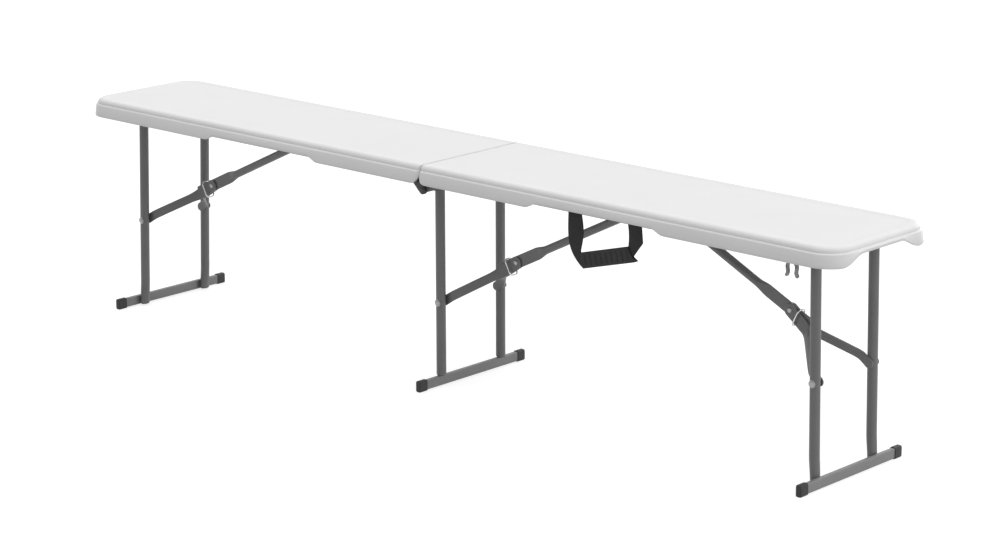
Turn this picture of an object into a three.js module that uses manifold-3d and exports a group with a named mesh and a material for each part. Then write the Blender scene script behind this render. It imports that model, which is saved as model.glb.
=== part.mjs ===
// A folding bench for three people: a white blow-moulded seat in two halves that fold together
// like a suitcase, three tubular steel leg frames, and a folding Y brace for each frame.
// Units are millimetres, +Z is up, and the origin is on the floor under the fold line,
// midway across the bench. +X runs along the seat to the end with the carry handle.
import * as THREE from "three";
import { mergeVertices } from "three/addons/utils/BufferGeometryUtils.js";
import Module from "manifold-3d";

const wasm = await Module();
wasm.setup();

// Overall size
const HALF_LENGTH = 915; // fold line to the outer end of one half
const SEAT_WIDTH = 280; // across the skirt's lower edge
const SEAT_HEIGHT = 420;
const FOLD_GAP = 1.6; // between the two halves at the fold

// Fits
const RUN = 0.3; // clearance between pieces that touch, turn or slide
const OVERRUN = 2; // how far a cutting tool runs past what it cuts
const SIDES = 14; // flats round a leg tube
const FINE_SIDES = 12; // flats round a pin, a hole or a wire
const CORNER_STEPS = 9; // facets round a large corner of the seat
const SMALL_CORNER_STEPS = 4;
const ROUND_STEPS = 3; // facets round the corner of a box section
const HEAD_STEPS = 8; // facets round an arm's broad end
const FOOT_STEPS = 6; // facets round its narrow end
const FITTING_ROUNDS = 6; // times that the brace's arm lengths are worked out anew

// Seat panel
const PANEL_THICKNESS = 15;
const SKIRT_DROP = 33.5; // seat face to the skirt's deep lower edge
const SHALLOW_DROP = 24.7; // seat face to the skirt's edge over the stowed feet
const ARCH_DROP = 16; // seat face to the lower edge at the end arch and along the fold
const END_CORNER_RADIUS = 52;
const FOLD_CORNER_RADIUS = 9;
const LEAST_CORNER_RADIUS = 2;
const SKIRT_FLARE = 3.6; // how far the skirt leans out from the ledge down
const LIP_WIDTH = 4.6;
const LIP_ROUND = 0.8;
const INNER_WALL_INSET = 9; // skirt's inner wall where it meets the underside
const LEDGE_DEPTH = 10.2; // seat face to the ledge line above the skirt
const LEDGE_WIDTH = 1.8;
const LEDGE_STEP = 0.9;
const EDGE_ROUND = 9; // rounded upper edge, across and down
const EDGE_SHARES = [0.15, 0.4, 0.65, 0.85, 1]; // steps along the rounded edge
const RIM_WIDTH = 10; // flat rim inside the rounded edge
const RIM_SLOPE = 1.6;
const SEAT_DISH = 0.5; // the seat face lies this much below its rim
const WAVE_INNER = 269; // fold line to the middle of the inner wave in the skirt
const WAVE_OUTER = 550; // fold line to the middle of the outer wave
const WAVE_LENGTH = 26;
const ARCH_MARGIN = 64; // skirt's side to the middle of the arch's flank
const ARCH_FLANK = 28;
const FOLD_ARCH_MARGIN = 18;
const FOLD_ARCH_FLANK = 8;
const FOLD_INSET_SHARE = 0.12; // the fold face takes this share of the other edges' inset
const FOLD_ROUND_SHARE = 0.5;
const FOLD_STATION_SHARES = [0.65, 0.82, 1]; // points along the skirt's round corner at the fold

// Side rails under each half
const RAIL_INSET = 19; // skirt's outside to the rail's outer face
const RAIL_THICKNESS = 2;
const RAIL_HEIGHT = 18.7;
const RAIL_FLANGE = 20;
const RAIL_FOLD_CLEARANCE = 14; // fold line to the rail's end
const RAIL_END_MARGIN = 22; // rail's length past the leg pivot

// Leg frames
const TUBE_DIAMETER = 18;
const TUBE_WALL = 1.1;
const TUBE_INSET = 41; // rail's outer face to a leg tube's axis
const TUBE_FLAT = 14; // thickness of the flattened tube end at the foot
const TUBE_FLAT_WIDTH = 21;
const TUBE_FOOT_CLEARANCE = 3; // floor to the tube's lower end
const BEND_HEIGHT = 62; // the tube bends outwards below this height
const BEND_OFFSET = 3;
const FLATTENING_SHARE = 0.71; // the tube flattens over this share of the part below the bend
const CROSS_TUBE_DIAMETER = 16;
const CROSS_TUBE_CLEARANCE = 2; // cross tube's end to the rail
const FISHMOUTH_DEPTH = 3; // leg tube's top below the pivot axis
const ROD_DIAMETER = 8;
const ROD_STAND_OUT = 3; // rod's end past the rail
const PIN_HEAD_DIAMETER = 11;
const PIN_HEAD_THICKNESS = 2;
const END_PIVOT_DROP = 27; // seat face to an end leg's pivot
const HINGE_DROP = 46; // seat face to the hinge pin, which also carries the centre leg
const LEFT_PIVOT = 806; // fold line to the left leg's pivot
const RIGHT_PIVOT = 834; // fold line to the right leg's pivot
const LEFT_FOOT_OFFSET = 26.7; // leg pivot to foot bar, outwards
const RIGHT_FOOT_OFFSET = 21.2;

// Foot bars and their end caps
const BAR_WIDTH = 9;
const BAR_HEIGHT = 18;
const BAR_STAND_OUT = 0; // foot bar's end past the skirt's side
const BAR_WALL = 1.2;
const BAR_ROUND = 2;
const CAP_WIDTH = 11.6;
const CAP_HEIGHT = 21;
const CAP_GRIP = 18; // length of foot bar inside a cap
const CAP_END = 2.2;
const CAP_ROUND = 3.2;
const CAP_CHAMFER = 1.4;
const CAP_EDGE_SHARE = 0.33; // where the chamfer's middle ring lies, so that it reads as round

// Braces
const BOLT_DISTANCE = 216.5; // leg pivot to the brace bolt
const BOLT_DIAMETER = 6;
const BOLT_HEAD_DIAMETER = 12;
const BOLT_HEAD_HEIGHT = 3.4;
const HEAD_RIM_SHARE = 0.33; // upright rim of a domed head, as a share of its height
const HEAD_CROWN_SHARE = 0.33; // half width of its crown, as a share of its diameter
const HEAD_SHOULDER_SHARE = 0.85; // height at the edge of its crown
const STOWED_BOLT_DROP = 2.3; // folded end leg's brace bolt below its pivot
const LEFT_KNEE_OFFSET = 12; // knee above the line between the brace's outer pivots, when open
const CENTRE_KNEE_OFFSET = 13.5;
const RIGHT_KNEE_OFFSET = 20;
const ARM_THICKNESS = 3;
const ARM_HEAD_HALF_WIDTH = 11.5;
const ARM_HALF_WIDTH = 8.5;
const ARM_HEAD_LENGTH = 34;
const ARM_TAPER_LENGTH = 26;
const ARM_PARALLEL_LENGTH = 44; // the two arms run side by side this far from the knee
const ARM_FOOT_LENGTH = 20; // the part that lies against the leg tube
const UPPER_TUBE_DIAMETER = 15;
const UPPER_TUBE_WALL = 1;
const UPPER_FLAT_THICKNESS = 3.6;
const UPPER_FLAT_WIDTH = 22.8;
const UPPER_TAIL = 47; // flattened end past the knee rivet
const TAIL_SHARES = [[0, 0.72], [0.12, 0.93], [0.33, 1]]; // tail's rounding, along and across
const FLAT_SQUARENESS = 0.45; // power that squares the section of the flattened end
const UPPER_FLAT_LENGTH = 55; // flattened length on the other side of the rivet
const UPPER_NECK_LENGTH = 110;
const UPPER_END_MARGIN = 7; // tube end past the anchor pin
const KNEE_STOWED_DROP = 32; // seat face to the knee rivet when the brace is folded flat
const ANCHOR_DROP = 28; // seat face to the brace's upper pivot
const LEFT_ANCHOR = 404; // leg pivot to the brace's upper pivot
const RIGHT_ANCHOR = 371;
const CENTRE_ANCHOR = 424;
const ANCHOR_EAR = 2.5; // thickness of a bracket ear and of its plate
const ANCHOR_EAR_HALF_WIDTH = 10;
const ANCHOR_PLATE_HALF_LENGTH = 18;
const RIVET_HEAD_DIAMETER = 9.5;
const RIVET_HEAD_HEIGHT = 2.6;

// Locking rings
const WIRE_DIAMETER = 2.8;
const RING_HALF_WIDTH = 8.7; // inside, across the arm's thickness
const RING_HALF_HEIGHT = 14.5; // inside, across the arm's width
const RING_CORNER = 7;
const RING_OFFSET = 18; // knee rivet to the ring, towards the leg
const RING_CORNER_STEPS = 4;

// Hinge leaves
const LEAF_THICKNESS = 2.6;
const LEAF_LENGTH = 76; // pin to the far end of a leaf
const LEAF_REACH = 24; // pin to where the leaf reaches its full height
const KNUCKLE_DIAMETER = 16;
const JOGGLE_START = 26;
const JOGGLE_LENGTH = 8;

// Carry handle
const HANDLE_DROP = 30; // seat face to the swing axis
const STRAP_WIDTH = 29;
const STRAP_THICKNESS = 2.4;
const STRAP_LEFT = 343; // fold line to the left run's outer edge at its top
const STRAP_RIGHT = 505.5; // fold line to the right run's outer edge at its top
const STRAP_LEFT_DROP = 94.6; // swing axis to the grip's lower left corner
const STRAP_RIGHT_DROP = 63;
const STRAP_SLANT = 34; // how far the left run's lower end comes in
const STRAP_RIGHT_SLANT = 12;
const STRAP_NARROWING = 18; // how much a run narrows where it turns into the grip
const STRAP_STEPS = 8;
const STRAP_BOW = 2.2; // power of the curve that a run's lower end follows inwards
const STRAP_TAPER = 1.5; // power of the curve that it narrows along
const GRIP_WIDTH = 28;
const GRIP_THICKNESS = 8;
const GRIP_ROUND = 3;
const GRIP_RIBS = 9;
const GRIP_RIB_DEPTH = 0.6;
const GRIP_RIB_WIDTH = 3;

// Closing clip
const CLIP_INSET = 15; // rail's outer face to the clip's middle
const CLIP_DEPTH = 6.5;
const CLIP_THICKNESS = 3;
const CLIP_CLEARANCE = 0.7;
const CLIP_ARCH_DROP = 46; // seat face to the centre of the clip's arch
const CLIP_THROAT_DROP = 58;
const CLIP_PINCH = 1.1; // how far each prong comes in at the throat
const CLIP_TIP_DROP = 66;
const CLIP_FLARE = 1.6;
const CLIP_STEM_HALF_WIDTH = 6;
const CLIP_BASE_HALF_WIDTH = 9;
const CLIP_ARC_STEPS = 10;

const PANEL_UNDERSIDE = SEAT_HEIGHT - PANEL_THICKNESS;
const END_PIVOT_HEIGHT = SEAT_HEIGHT - END_PIVOT_DROP;
const HINGE_HEIGHT = SEAT_HEIGHT - HINGE_DROP;
const ANCHOR_HEIGHT = SEAT_HEIGHT - ANCHOR_DROP;
const KNEE_STOWED_HEIGHT = SEAT_HEIGHT - KNEE_STOWED_DROP;
const HANDLE_HEIGHT = SEAT_HEIGHT - HANDLE_DROP;
const CLIP_ARCH_HEIGHT = SEAT_HEIGHT - CLIP_ARCH_DROP;
const CLIP_THROAT_HEIGHT = SEAT_HEIGHT - CLIP_THROAT_DROP;
const CLIP_TIP_HEIGHT = SEAT_HEIGHT - CLIP_TIP_DROP;
const ARCH_HALF_WIDTH = SEAT_WIDTH / 2 - ARCH_MARGIN;
const FOLD_EDGE_RADIUS = SKIRT_DROP - ARCH_DROP; // the skirt's corner at the fold is a quarter round
const FOLD_ARCH_HALF_WIDTH = SEAT_WIDTH / 2 - FOLD_ARCH_MARGIN;
const RAIL_HALF_SPACING = SEAT_WIDTH / 2 - RAIL_INSET;
const TUBE_HALF_SPACING = RAIL_HALF_SPACING - TUBE_INSET;
const CROSS_TUBE_HALF_LENGTH = RAIL_HALF_SPACING - RAIL_THICKNESS - CROSS_TUBE_CLEARANCE;
const CLIP_SPACING = RAIL_HALF_SPACING - CLIP_INSET;
const BAR_HALF_LENGTH = SEAT_WIDTH / 2 + BAR_STAND_OUT;
const RAIL_TOP = PANEL_UNDERSIDE - RUN;
const RAIL_BOTTOM = RAIL_TOP - RAIL_HEIGHT;
const BAR_BOTTOM = (CAP_HEIGHT - BAR_HEIGHT) / 2;
const BAR_CENTRE = CAP_HEIGHT / 2;
const ARM_INNER_FACE = UPPER_FLAT_THICKNESS / 2 + RUN;
const ARM_MIDDLE = ARM_INNER_FACE + ARM_THICKNESS / 2;
const ARM_OUTER_FACE = ARM_INNER_FACE + ARM_THICKNESS;
const ARM_FOOT_MIDDLE = TUBE_HALF_SPACING - TUBE_DIAMETER / 2 - RUN - ARM_THICKNESS / 2;

const PAINTED_STEEL = new THREE.MeshStandardMaterial({ color: "#6c6e70", roughness: 0.45, metalness: 0.3 });
const WHITE_HDPE = new THREE.MeshStandardMaterial({ color: "#ecedee", roughness: 0.55, metalness: 0 });
const BLACK_PLASTIC = new THREE.MeshStandardMaterial({ color: "#2b2b2d", roughness: 0.7, metalness: 0 });
const BLACK_WEBBING = new THREE.MeshStandardMaterial({ color: "#222224", roughness: 0.9, metalness: 0 });
const ZINC_STEEL = new THREE.MeshStandardMaterial({ color: "#c9ccd0", roughness: 0.25, metalness: 0.9 });
const DARK_STEEL = new THREE.MeshStandardMaterial({ color: "#3c3e41", roughness: 0.5, metalness: 0.4 });

const bench = new THREE.Group();

// Solids

function toManifold(geometry) {
  const flat = geometry.clone();
  flat.deleteAttribute("normal");
  flat.deleteAttribute("uv");
  const merged = mergeVertices(flat, 1e-4);
  return new wasm.Manifold(
    new wasm.Mesh({
      numProp: 3,
      vertProperties: merged.attributes.position.array,
      triVerts: new Uint32Array(merged.index.array),
    }),
  );
}

function fromManifold(solid) {
  const mesh = solid.getMesh();
  const geometry = new THREE.BufferGeometry();
  geometry.setAttribute("position", new THREE.BufferAttribute(new Float32Array(mesh.vertProperties), 3));
  geometry.setIndex(new THREE.BufferAttribute(new Uint32Array(mesh.triVerts), 1));
  geometry.computeVertexNormals();
  return geometry;
}

const join = (first, ...others) =>
  fromManifold(others.reduce((sum, other) => sum.add(toManifold(other)), toManifold(first)));
const cut = (first, ...tools) =>
  fromManifold(tools.reduce((rest, tool) => rest.subtract(toManifold(tool)), toManifold(first)));
const meet = (first, second) => fromManifold(toManifold(first).intersect(toManifold(second)));

function addMesh(parent, name, geometry, material) {
  const mesh = new THREE.Mesh(geometry, material);
  mesh.name = name;
  parent.add(mesh);
  return mesh;
}

// Faces through rings of points, each ring with as many points as the next. An open loft is capped
// with a fan at each end, and a closed one joins its last ring to its first.
function loft(rings, closed = false) {
  const count = rings[0].length;
  const points = rings.flat();
  const faces = [];
  const last = closed ? rings.length : rings.length - 1;
  for (let i = 0; i < last; i++)
    for (let j = 0; j < count; j++) {
      const next = ((i + 1) % rings.length) * count;
      const a = i * count + j;
      const b = i * count + ((j + 1) % count);
      const c = next + ((j + 1) % count);
      const d = next + j;
      faces.push(a, b, c, a, c, d);
    }
  if (!closed)
    for (const [ring, forwards] of [[0, false], [rings.length - 1, true]]) {
      const middle = rings[ring].reduce((sum, p) => sum.add(p), new THREE.Vector3()).divideScalar(count);
      const centre = points.push(middle) - 1;
      for (let j = 0; j < count; j++) {
        const a = ring * count + j;
        const b = ring * count + ((j + 1) % count);
        faces.push(...(forwards ? [centre, a, b] : [centre, b, a]));
      }
    }
  let volume = 0;
  for (let k = 0; k < faces.length; k += 3) {
    const [a, b, c] = faces.slice(k, k + 3).map((corner) => points[corner]);
    volume += a.dot(b.clone().cross(c));
  }
  if (volume < 0) faces.reverse();
  const geometry = new THREE.BufferGeometry().setFromPoints(points);
  geometry.setIndex(faces);
  geometry.computeVertexNormals();
  return geometry;
}

function outline(points) {
  return new THREE.Shape(points.map(([x, y]) => new THREE.Vector2(x, y)));
}

function roundedBox(width, height, radius) {
  const x = width / 2;
  const y = height / 2;
  const shape = new THREE.Shape();
  shape.moveTo(x - radius, -y);
  shape.absarc(x - radius, radius - y, radius, -Math.PI / 2, 0);
  shape.absarc(x - radius, y - radius, radius, 0, Math.PI / 2);
  shape.absarc(radius - x, y - radius, radius, Math.PI / 2, Math.PI);
  shape.absarc(radius - x, radius - y, radius, Math.PI, 1.5 * Math.PI);
  return shape;
}

function extrude(shape, depth, curveSegments = ROUND_STEPS) {
  return new THREE.ExtrudeGeometry(shape, { depth, bevelEnabled: false, curveSegments });
}

// A shape drawn in Y and Z, extruded from x0 to x1.
function extrudeX(shape, x0, x1) {
  const turn = new THREE.Matrix4().makeBasis(
    new THREE.Vector3(0, 1, 0),
    new THREE.Vector3(0, 0, 1),
    new THREE.Vector3(1, 0, 0),
  );
  return extrude(shape, x1 - x0).applyMatrix4(turn).translate(x0, 0, 0);
}

// A shape drawn in X and Z, extruded from y0 to y1.
function extrudeY(shape, y0, y1) {
  return extrude(shape, y1 - y0)
    .rotateX(Math.PI / 2)
    .translate(0, y1, 0);
}

// A round bar along Y through (x, z), from y0 to y1.
function barY(diameter, x, z, y0, y1, sides = FINE_SIDES) {
  const bar = new THREE.CylinderGeometry(diameter / 2, diameter / 2, y1 - y0, sides);
  return bar.translate(x, (y0 + y1) / 2, z);
}

const holeY = (diameter, x, z, half) => barY(diameter + 2 * RUN, x, z, -half - OVERRUN, half + OVERRUN);

// The outline of the smallest convex shape round some points, anticlockwise.
function hull(points) {
  const sorted = [...points].sort((a, b) => a[0] - b[0] || a[1] - b[1]);
  const turn = (o, a, b) => (a[0] - o[0]) * (b[1] - o[1]) - (a[1] - o[1]) * (b[0] - o[0]);
  const half = (list) => {
    const chain = [];
    for (const p of list) {
      while (chain.length > 1 && turn(chain.at(-2), chain.at(-1), p) <= 0) chain.pop();
      chain.push(p);
    }
    return chain.slice(0, -1);
  };
  return [...half(sorted), ...half(sorted.reverse())];
}

function arc(x, y, radius, from, to, steps) {
  return Array.from({ length: steps + 1 }, (_, i) => {
    const angle = from + ((to - from) * i) / steps;
    return [x + radius * Math.cos(angle), y + radius * Math.sin(angle)];
  });
}

const smooth = (t) => {
  const s = Math.min(Math.max(t, 0), 1);
  return s * s * (3 - 2 * s);
};

// Seat halves

// Height of the skirt's lower edge above the floor at a point of the right half's outline: deep at
// the corners and round the fold, shallow between the two waves, and arched along both ends.
function skirtEdge(x, y) {
  const deep = SEAT_HEIGHT - SKIRT_DROP;
  const inner = smooth((x - WAVE_INNER) / WAVE_LENGTH + 0.5);
  const outer = smooth((WAVE_OUTER - x) / WAVE_LENGTH + 0.5);
  const shallow = Math.min(inner, outer) * (SKIRT_DROP - SHALLOW_DROP);
  const onEnd = x > HALF_LENGTH - END_CORNER_RADIUS;
  const onFold = x < FOLD_GAP + FOLD_CORNER_RADIUS;
  const endArch = smooth((ARCH_HALF_WIDTH - Math.abs(y)) / ARCH_FLANK + 0.5);
  const foldArch = smooth((FOLD_ARCH_HALF_WIDTH - Math.abs(y)) / FOLD_ARCH_FLANK + 0.5);
  const arch = Math.max(onEnd ? endArch : 0, onFold ? foldArch : 0) * (SKIRT_DROP - ARCH_DROP);
  const fromRound = 1 - Math.min(Math.max(x - FOLD_GAP / 2, 0) / FOLD_EDGE_RADIUS, 1);
  const rise = FOLD_EDGE_RADIUS * (1 - Math.sqrt(1 - fromRound ** 2));
  return deep + Math.max(shallow, arch, rise);
}

// One level of the right half: the plan outline drawn in by inset, at the height given, or following
// the skirt's edge with an offset.
function seatRing(inset, height, fromSkirtEdge) {
  const foldX = FOLD_GAP / 2 + inset * FOLD_INSET_SHARE;
  const endX = HALF_LENGTH - inset;
  const sideY = SEAT_WIDTH / 2 - inset;
  const endRadius = END_CORNER_RADIUS - inset;
  const foldRadius = Math.max(FOLD_CORNER_RADIUS - inset * FOLD_ROUND_SHARE, LEAST_CORNER_RADIUS);
  const quarter = Math.PI / 2;
  const stationShares = [-0.5, -0.25, 0, 0.25, 0.5];
  const waves = [WAVE_INNER, WAVE_OUTER].flatMap((x) => stationShares.map((s) => x + s * WAVE_LENGTH));
  const roundX = FOLD_STATION_SHARES.map((s) => FOLD_GAP / 2 + s * FOLD_EDGE_RADIUS);
  const sideX = [...roundX, ...waves.slice(0, 5), (WAVE_INNER + WAVE_OUTER) / 2, ...waves.slice(5)];
  const flank = stationShares.map((s) => ARCH_HALF_WIDTH + s * ARCH_FLANK);
  const endY = [...flank.map((y) => -y).reverse(), ...flank];
  const foldShare = (sideY - foldRadius) / (SEAT_WIDTH / 2 - FOLD_CORNER_RADIUS);
  const foldFlank = stationShares.map((s) => (FOLD_ARCH_HALF_WIDTH + s * FOLD_ARCH_FLANK) * foldShare);
  const foldY = [...foldFlank.map((y) => -y).reverse(), ...foldFlank].reverse();
  const plan = [
    ...sideX.map((x) => [x, -sideY]),
    ...arc(endX - endRadius, endRadius - sideY, endRadius, -quarter, 0, CORNER_STEPS),
    ...endY.filter((y) => Math.abs(y) < SEAT_WIDTH / 2 - END_CORNER_RADIUS).map((y) => [endX, y]),
    ...arc(endX - endRadius, sideY - endRadius, endRadius, 0, quarter, CORNER_STEPS),
    ...sideX.toReversed().map((x) => [x, sideY]),
    ...arc(foldX + foldRadius, sideY - foldRadius, foldRadius, quarter, 2 * quarter, SMALL_CORNER_STEPS),
    ...foldY.map((y) => [foldX, y]),
    ...arc(foldX + foldRadius, foldRadius - sideY, foldRadius, -2 * quarter, -quarter, SMALL_CORNER_STEPS),
  ];
  return plan.map(([x, y]) => {
    const z = fromSkirtEdge ? skirtEdge(x, y) + height : height;
    return new THREE.Vector3(x, y, z);
  });
}

function seatHalf() {
  const ledgeInset = SKIRT_FLARE + LEDGE_WIDTH;
  const edgeBase = SEAT_HEIGHT - EDGE_ROUND;
  const edge = EDGE_SHARES.map((share) => {
    const angle = (share * Math.PI) / 2;
    return [ledgeInset + EDGE_ROUND * (1 - Math.cos(angle)), edgeBase + EDGE_ROUND * Math.sin(angle)];
  });
  const rimInset = ledgeInset + EDGE_ROUND + RIM_WIDTH;
  const rings = [
    seatRing(INNER_WALL_INSET, PANEL_UNDERSIDE, false),
    seatRing(LIP_WIDTH, 0, true),
    seatRing(LIP_ROUND, 0, true),
    seatRing(0, LIP_ROUND, true),
    seatRing(SKIRT_FLARE, SEAT_HEIGHT - LEDGE_DEPTH, false),
    seatRing(ledgeInset, SEAT_HEIGHT - LEDGE_DEPTH + LEDGE_STEP, false),
    ...edge.map(([inset, height]) => seatRing(inset, height, false)),
    seatRing(rimInset, SEAT_HEIGHT, false),
    seatRing(rimInset + RIM_SLOPE, SEAT_HEIGHT - SEAT_DISH, false),
  ];
  return loft(rings);
}

// Rails, hinge leaves and pins of one half, drawn for the right half

function rail(side, pivotX, anchors) {
  const outer = side * RAIL_HALF_SPACING;
  const web = side * (RAIL_HALF_SPACING - RAIL_THICKNESS);
  const inner = side * (RAIL_HALF_SPACING - RAIL_FLANGE);
  const angle = [
    [outer, RAIL_BOTTOM],
    [outer, RAIL_TOP],
    [inner, RAIL_TOP],
    [inner, RAIL_TOP - RAIL_THICKNESS],
    [web, RAIL_TOP - RAIL_THICKNESS],
    [web, RAIL_BOTTOM],
  ];
  const section = outline(side > 0 ? angle : angle.toReversed());
  const bar = extrudeX(section, RAIL_FOLD_CLEARANCE, pivotX + RAIL_END_MARGIN);
  const holes = anchors.map(([x, z]) => holeY(ROD_DIAMETER, x, z, RAIL_HALF_SPACING));
  return cut(bar, ...holes);
}

const leafInnerFace = (layer) => RAIL_HALF_SPACING + RUN + layer * (LEAF_THICKNESS + RUN);

// A leaf on the outer face of the rail, drawn down to a nose round the pin. The leaf of the second
// layer steps out near the pin, so that it passes outside the first.
function hingeLeaf(side, layer) {
  const top = RAIL_TOP - RAIL_THICKNESS;
  const nose = hull([
    ...arc(0, HINGE_HEIGHT, KNUCKLE_DIAMETER / 2, 0, 2 * Math.PI, FINE_SIDES),
    [LEAF_REACH, RAIL_BOTTOM],
    [LEAF_REACH, top],
  ]);
  const wing = [
    [LEAF_REACH, RAIL_BOTTOM],
    [LEAF_LENGTH, RAIL_BOTTOM],
    [LEAF_LENGTH, top],
    [LEAF_REACH, top],
  ];
  const base = leafInnerFace(0);
  const stepped = leafInnerFace(layer);
  const start = -KNUCKLE_DIAMETER;
  const inner = [
    [start, stepped],
    [JOGGLE_START, stepped],
    [JOGGLE_START + JOGGLE_LENGTH, base],
    [LEAF_LENGTH + OVERRUN, base],
  ];
  const outer = inner.map(([x, y]) => [x, y + LEAF_THICKNESS]).reverse();
  const plan = [...inner, ...outer].map(([x, y]) => [x, side * y]);
  const strip = extrude(outline(side > 0 ? plan : plan.toReversed()), RAIL_TOP);
  const reach = leafInnerFace(layer) + LEAF_THICKNESS + OVERRUN;
  const sideView = join(extrudeY(outline(nose), -reach, reach), extrudeY(outline(wing), -reach, reach));
  const plate = meet(strip, sideView);
  return cut(plate, holeY(ROD_DIAMETER, 0, HINGE_HEIGHT, reach));
}

function hingePin() {
  const half = leafInnerFace(2);
  const shank = barY(ROD_DIAMETER, 0, HINGE_HEIGHT, -half - PIN_HEAD_THICKNESS, half + PIN_HEAD_THICKNESS);
  const heads = [-1, 1].map((side) => {
    const ends = [side * half, side * (half + PIN_HEAD_THICKNESS)].sort((a, b) => a - b);
    return barY(PIN_HEAD_DIAMETER, 0, HINGE_HEIGHT, ...ends);
  });
  return join(shank, ...heads);
}

// Leg frames, drawn with the pivot at the origin and the foot leaning towards out

// Where a leg tube's axis runs: straight from the pivot down to the bend, then outwards to the foot.
function legLayout({ pivotHeight, footOffset, out }) {
  const onTop = footOffset === 0;
  const footX = onTop ? 0 : footOffset - BAR_WIDTH / 2 - RUN - TUBE_FLAT / 2;
  const bendX = onTop ? 0 : footX - BEND_OFFSET;
  const lean = Math.atan(bendX / (pivotHeight - BEND_HEIGHT));
  const bottom = onTop ? BAR_BOTTOM + BAR_HEIGHT + RUN : TUBE_FOOT_CLEARANCE;
  const bolt = new THREE.Vector2(out * BOLT_DISTANCE * Math.sin(lean), -BOLT_DISTANCE * Math.cos(lean));
  return { onTop, footX, bendX, lean, bottom, bolt };
}

function legTube(leg, side) {
  const { pivotHeight, out } = leg;
  const { footX, bendX, bottom, bolt } = legLayout(leg);
  const y = side * TUBE_HALF_SPACING;
  const bendShares = [1, 0.75, 0.5, 0.25, 0];
  const stations = [
    { z: -FISHMOUTH_DEPTH, x: (bendX * FISHMOUTH_DEPTH) / (pivotHeight - BEND_HEIGHT), flat: 0 },
    ...bendShares.map((share) => ({
      z: bottom + (BEND_HEIGHT - bottom) * share - pivotHeight,
      x: bendX + (footX - bendX) * smooth(1 - share),
      flat: smooth(1 - share / FLATTENING_SHARE),
    })),
  ];
  const ring = ({ z, x, flat }, shrink) => {
    const halfX = THREE.MathUtils.lerp(TUBE_DIAMETER, TUBE_FLAT, flat) / 2 - shrink;
    const halfY = THREE.MathUtils.lerp(TUBE_DIAMETER, TUBE_FLAT_WIDTH, flat) / 2 - shrink;
    return Array.from({ length: SIDES }, (_, i) => {
      const angle = (2 * Math.PI * i) / SIDES;
      return new THREE.Vector3(out * x + halfX * Math.cos(angle), y + halfY * Math.sin(angle), z);
    });
  };
  const lengthen = (list, by) => {
    const ends = list.map((s) => ({ ...s }));
    ends[0].z += by;
    ends.at(-1).z -= by;
    return ends;
  };
  const skin = loft(stations.map((s) => ring(s, 0)));
  const bore = loft(lengthen(stations, OVERRUN).map((s) => ring(s, TUBE_WALL)));
  const saddle = holeY(CROSS_TUBE_DIAMETER, 0, 0, CROSS_TUBE_HALF_LENGTH);
  const boltHole = holeY(BOLT_DIAMETER, bolt.x, bolt.y, CROSS_TUBE_HALF_LENGTH);
  return cut(skin, bore, saddle, boltHole);
}

function crossTube() {
  const half = CROSS_TUBE_HALF_LENGTH;
  return cut(barY(CROSS_TUBE_DIAMETER, 0, 0, -half, half, SIDES), holeY(ROD_DIAMETER, 0, 0, half));
}

function footBar(x, z) {
  const section = roundedBox(BAR_WIDTH, BAR_HEIGHT, BAR_ROUND);
  section.holes.push(roundedBox(BAR_WIDTH - 2 * BAR_WALL, BAR_HEIGHT - 2 * BAR_WALL, BAR_ROUND - BAR_WALL));
  return extrudeY(section, -BAR_HALF_LENGTH, BAR_HALF_LENGTH).translate(x, 0, z);
}

function footCap(x, z, side) {
  const end = BAR_HALF_LENGTH + RUN + CAP_END;
  const ring = (shrink, y) =>
    roundedBox(CAP_WIDTH - 2 * shrink, CAP_HEIGHT - 2 * shrink, CAP_ROUND - shrink)
      .getPoints(ROUND_STEPS)
      .map((p) => new THREE.Vector3(x + p.x, side * y, z + p.y));
  const block = loft([
    ring(0, BAR_HALF_LENGTH - CAP_GRIP),
    ring(0, end - CAP_CHAMFER),
    ring(CAP_CHAMFER * CAP_EDGE_SHARE, end - CAP_CHAMFER * CAP_EDGE_SHARE),
    ring(CAP_CHAMFER, end),
  ]);
  const socket = roundedBox(BAR_WIDTH + 2 * RUN, BAR_HEIGHT + 2 * RUN, BAR_ROUND + RUN);
  const ends = [BAR_HALF_LENGTH - CAP_GRIP - OVERRUN, BAR_HALF_LENGTH + RUN].map((y) => side * y);
  const core = extrudeY(socket, Math.min(...ends), Math.max(...ends)).translate(x, 0, z);
  return cut(block, core);
}

function legBolt(x, z, side) {
  const inner = TUBE_HALF_SPACING - TUBE_DIAMETER / 2;
  const outer = TUBE_HALF_SPACING + TUBE_DIAMETER / 2 + RUN;
  const profile = [
    [0, inner],
    [BOLT_DIAMETER / 2, inner],
    [BOLT_DIAMETER / 2, outer],
    [BOLT_HEAD_DIAMETER / 2, outer],
    [BOLT_HEAD_DIAMETER / 2, outer + BOLT_HEAD_HEIGHT * HEAD_RIM_SHARE],
    [BOLT_HEAD_DIAMETER * HEAD_CROWN_SHARE, outer + BOLT_HEAD_HEIGHT * HEAD_SHOULDER_SHARE],
    [0, outer + BOLT_HEAD_HEIGHT],
  ];
  const bolt = new THREE.LatheGeometry(profile.map(([r, y]) => new THREE.Vector2(r, y)), FINE_SIDES);
  if (side < 0) bolt.rotateX(Math.PI);
  return bolt.translate(x, 0, z);
}

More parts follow.
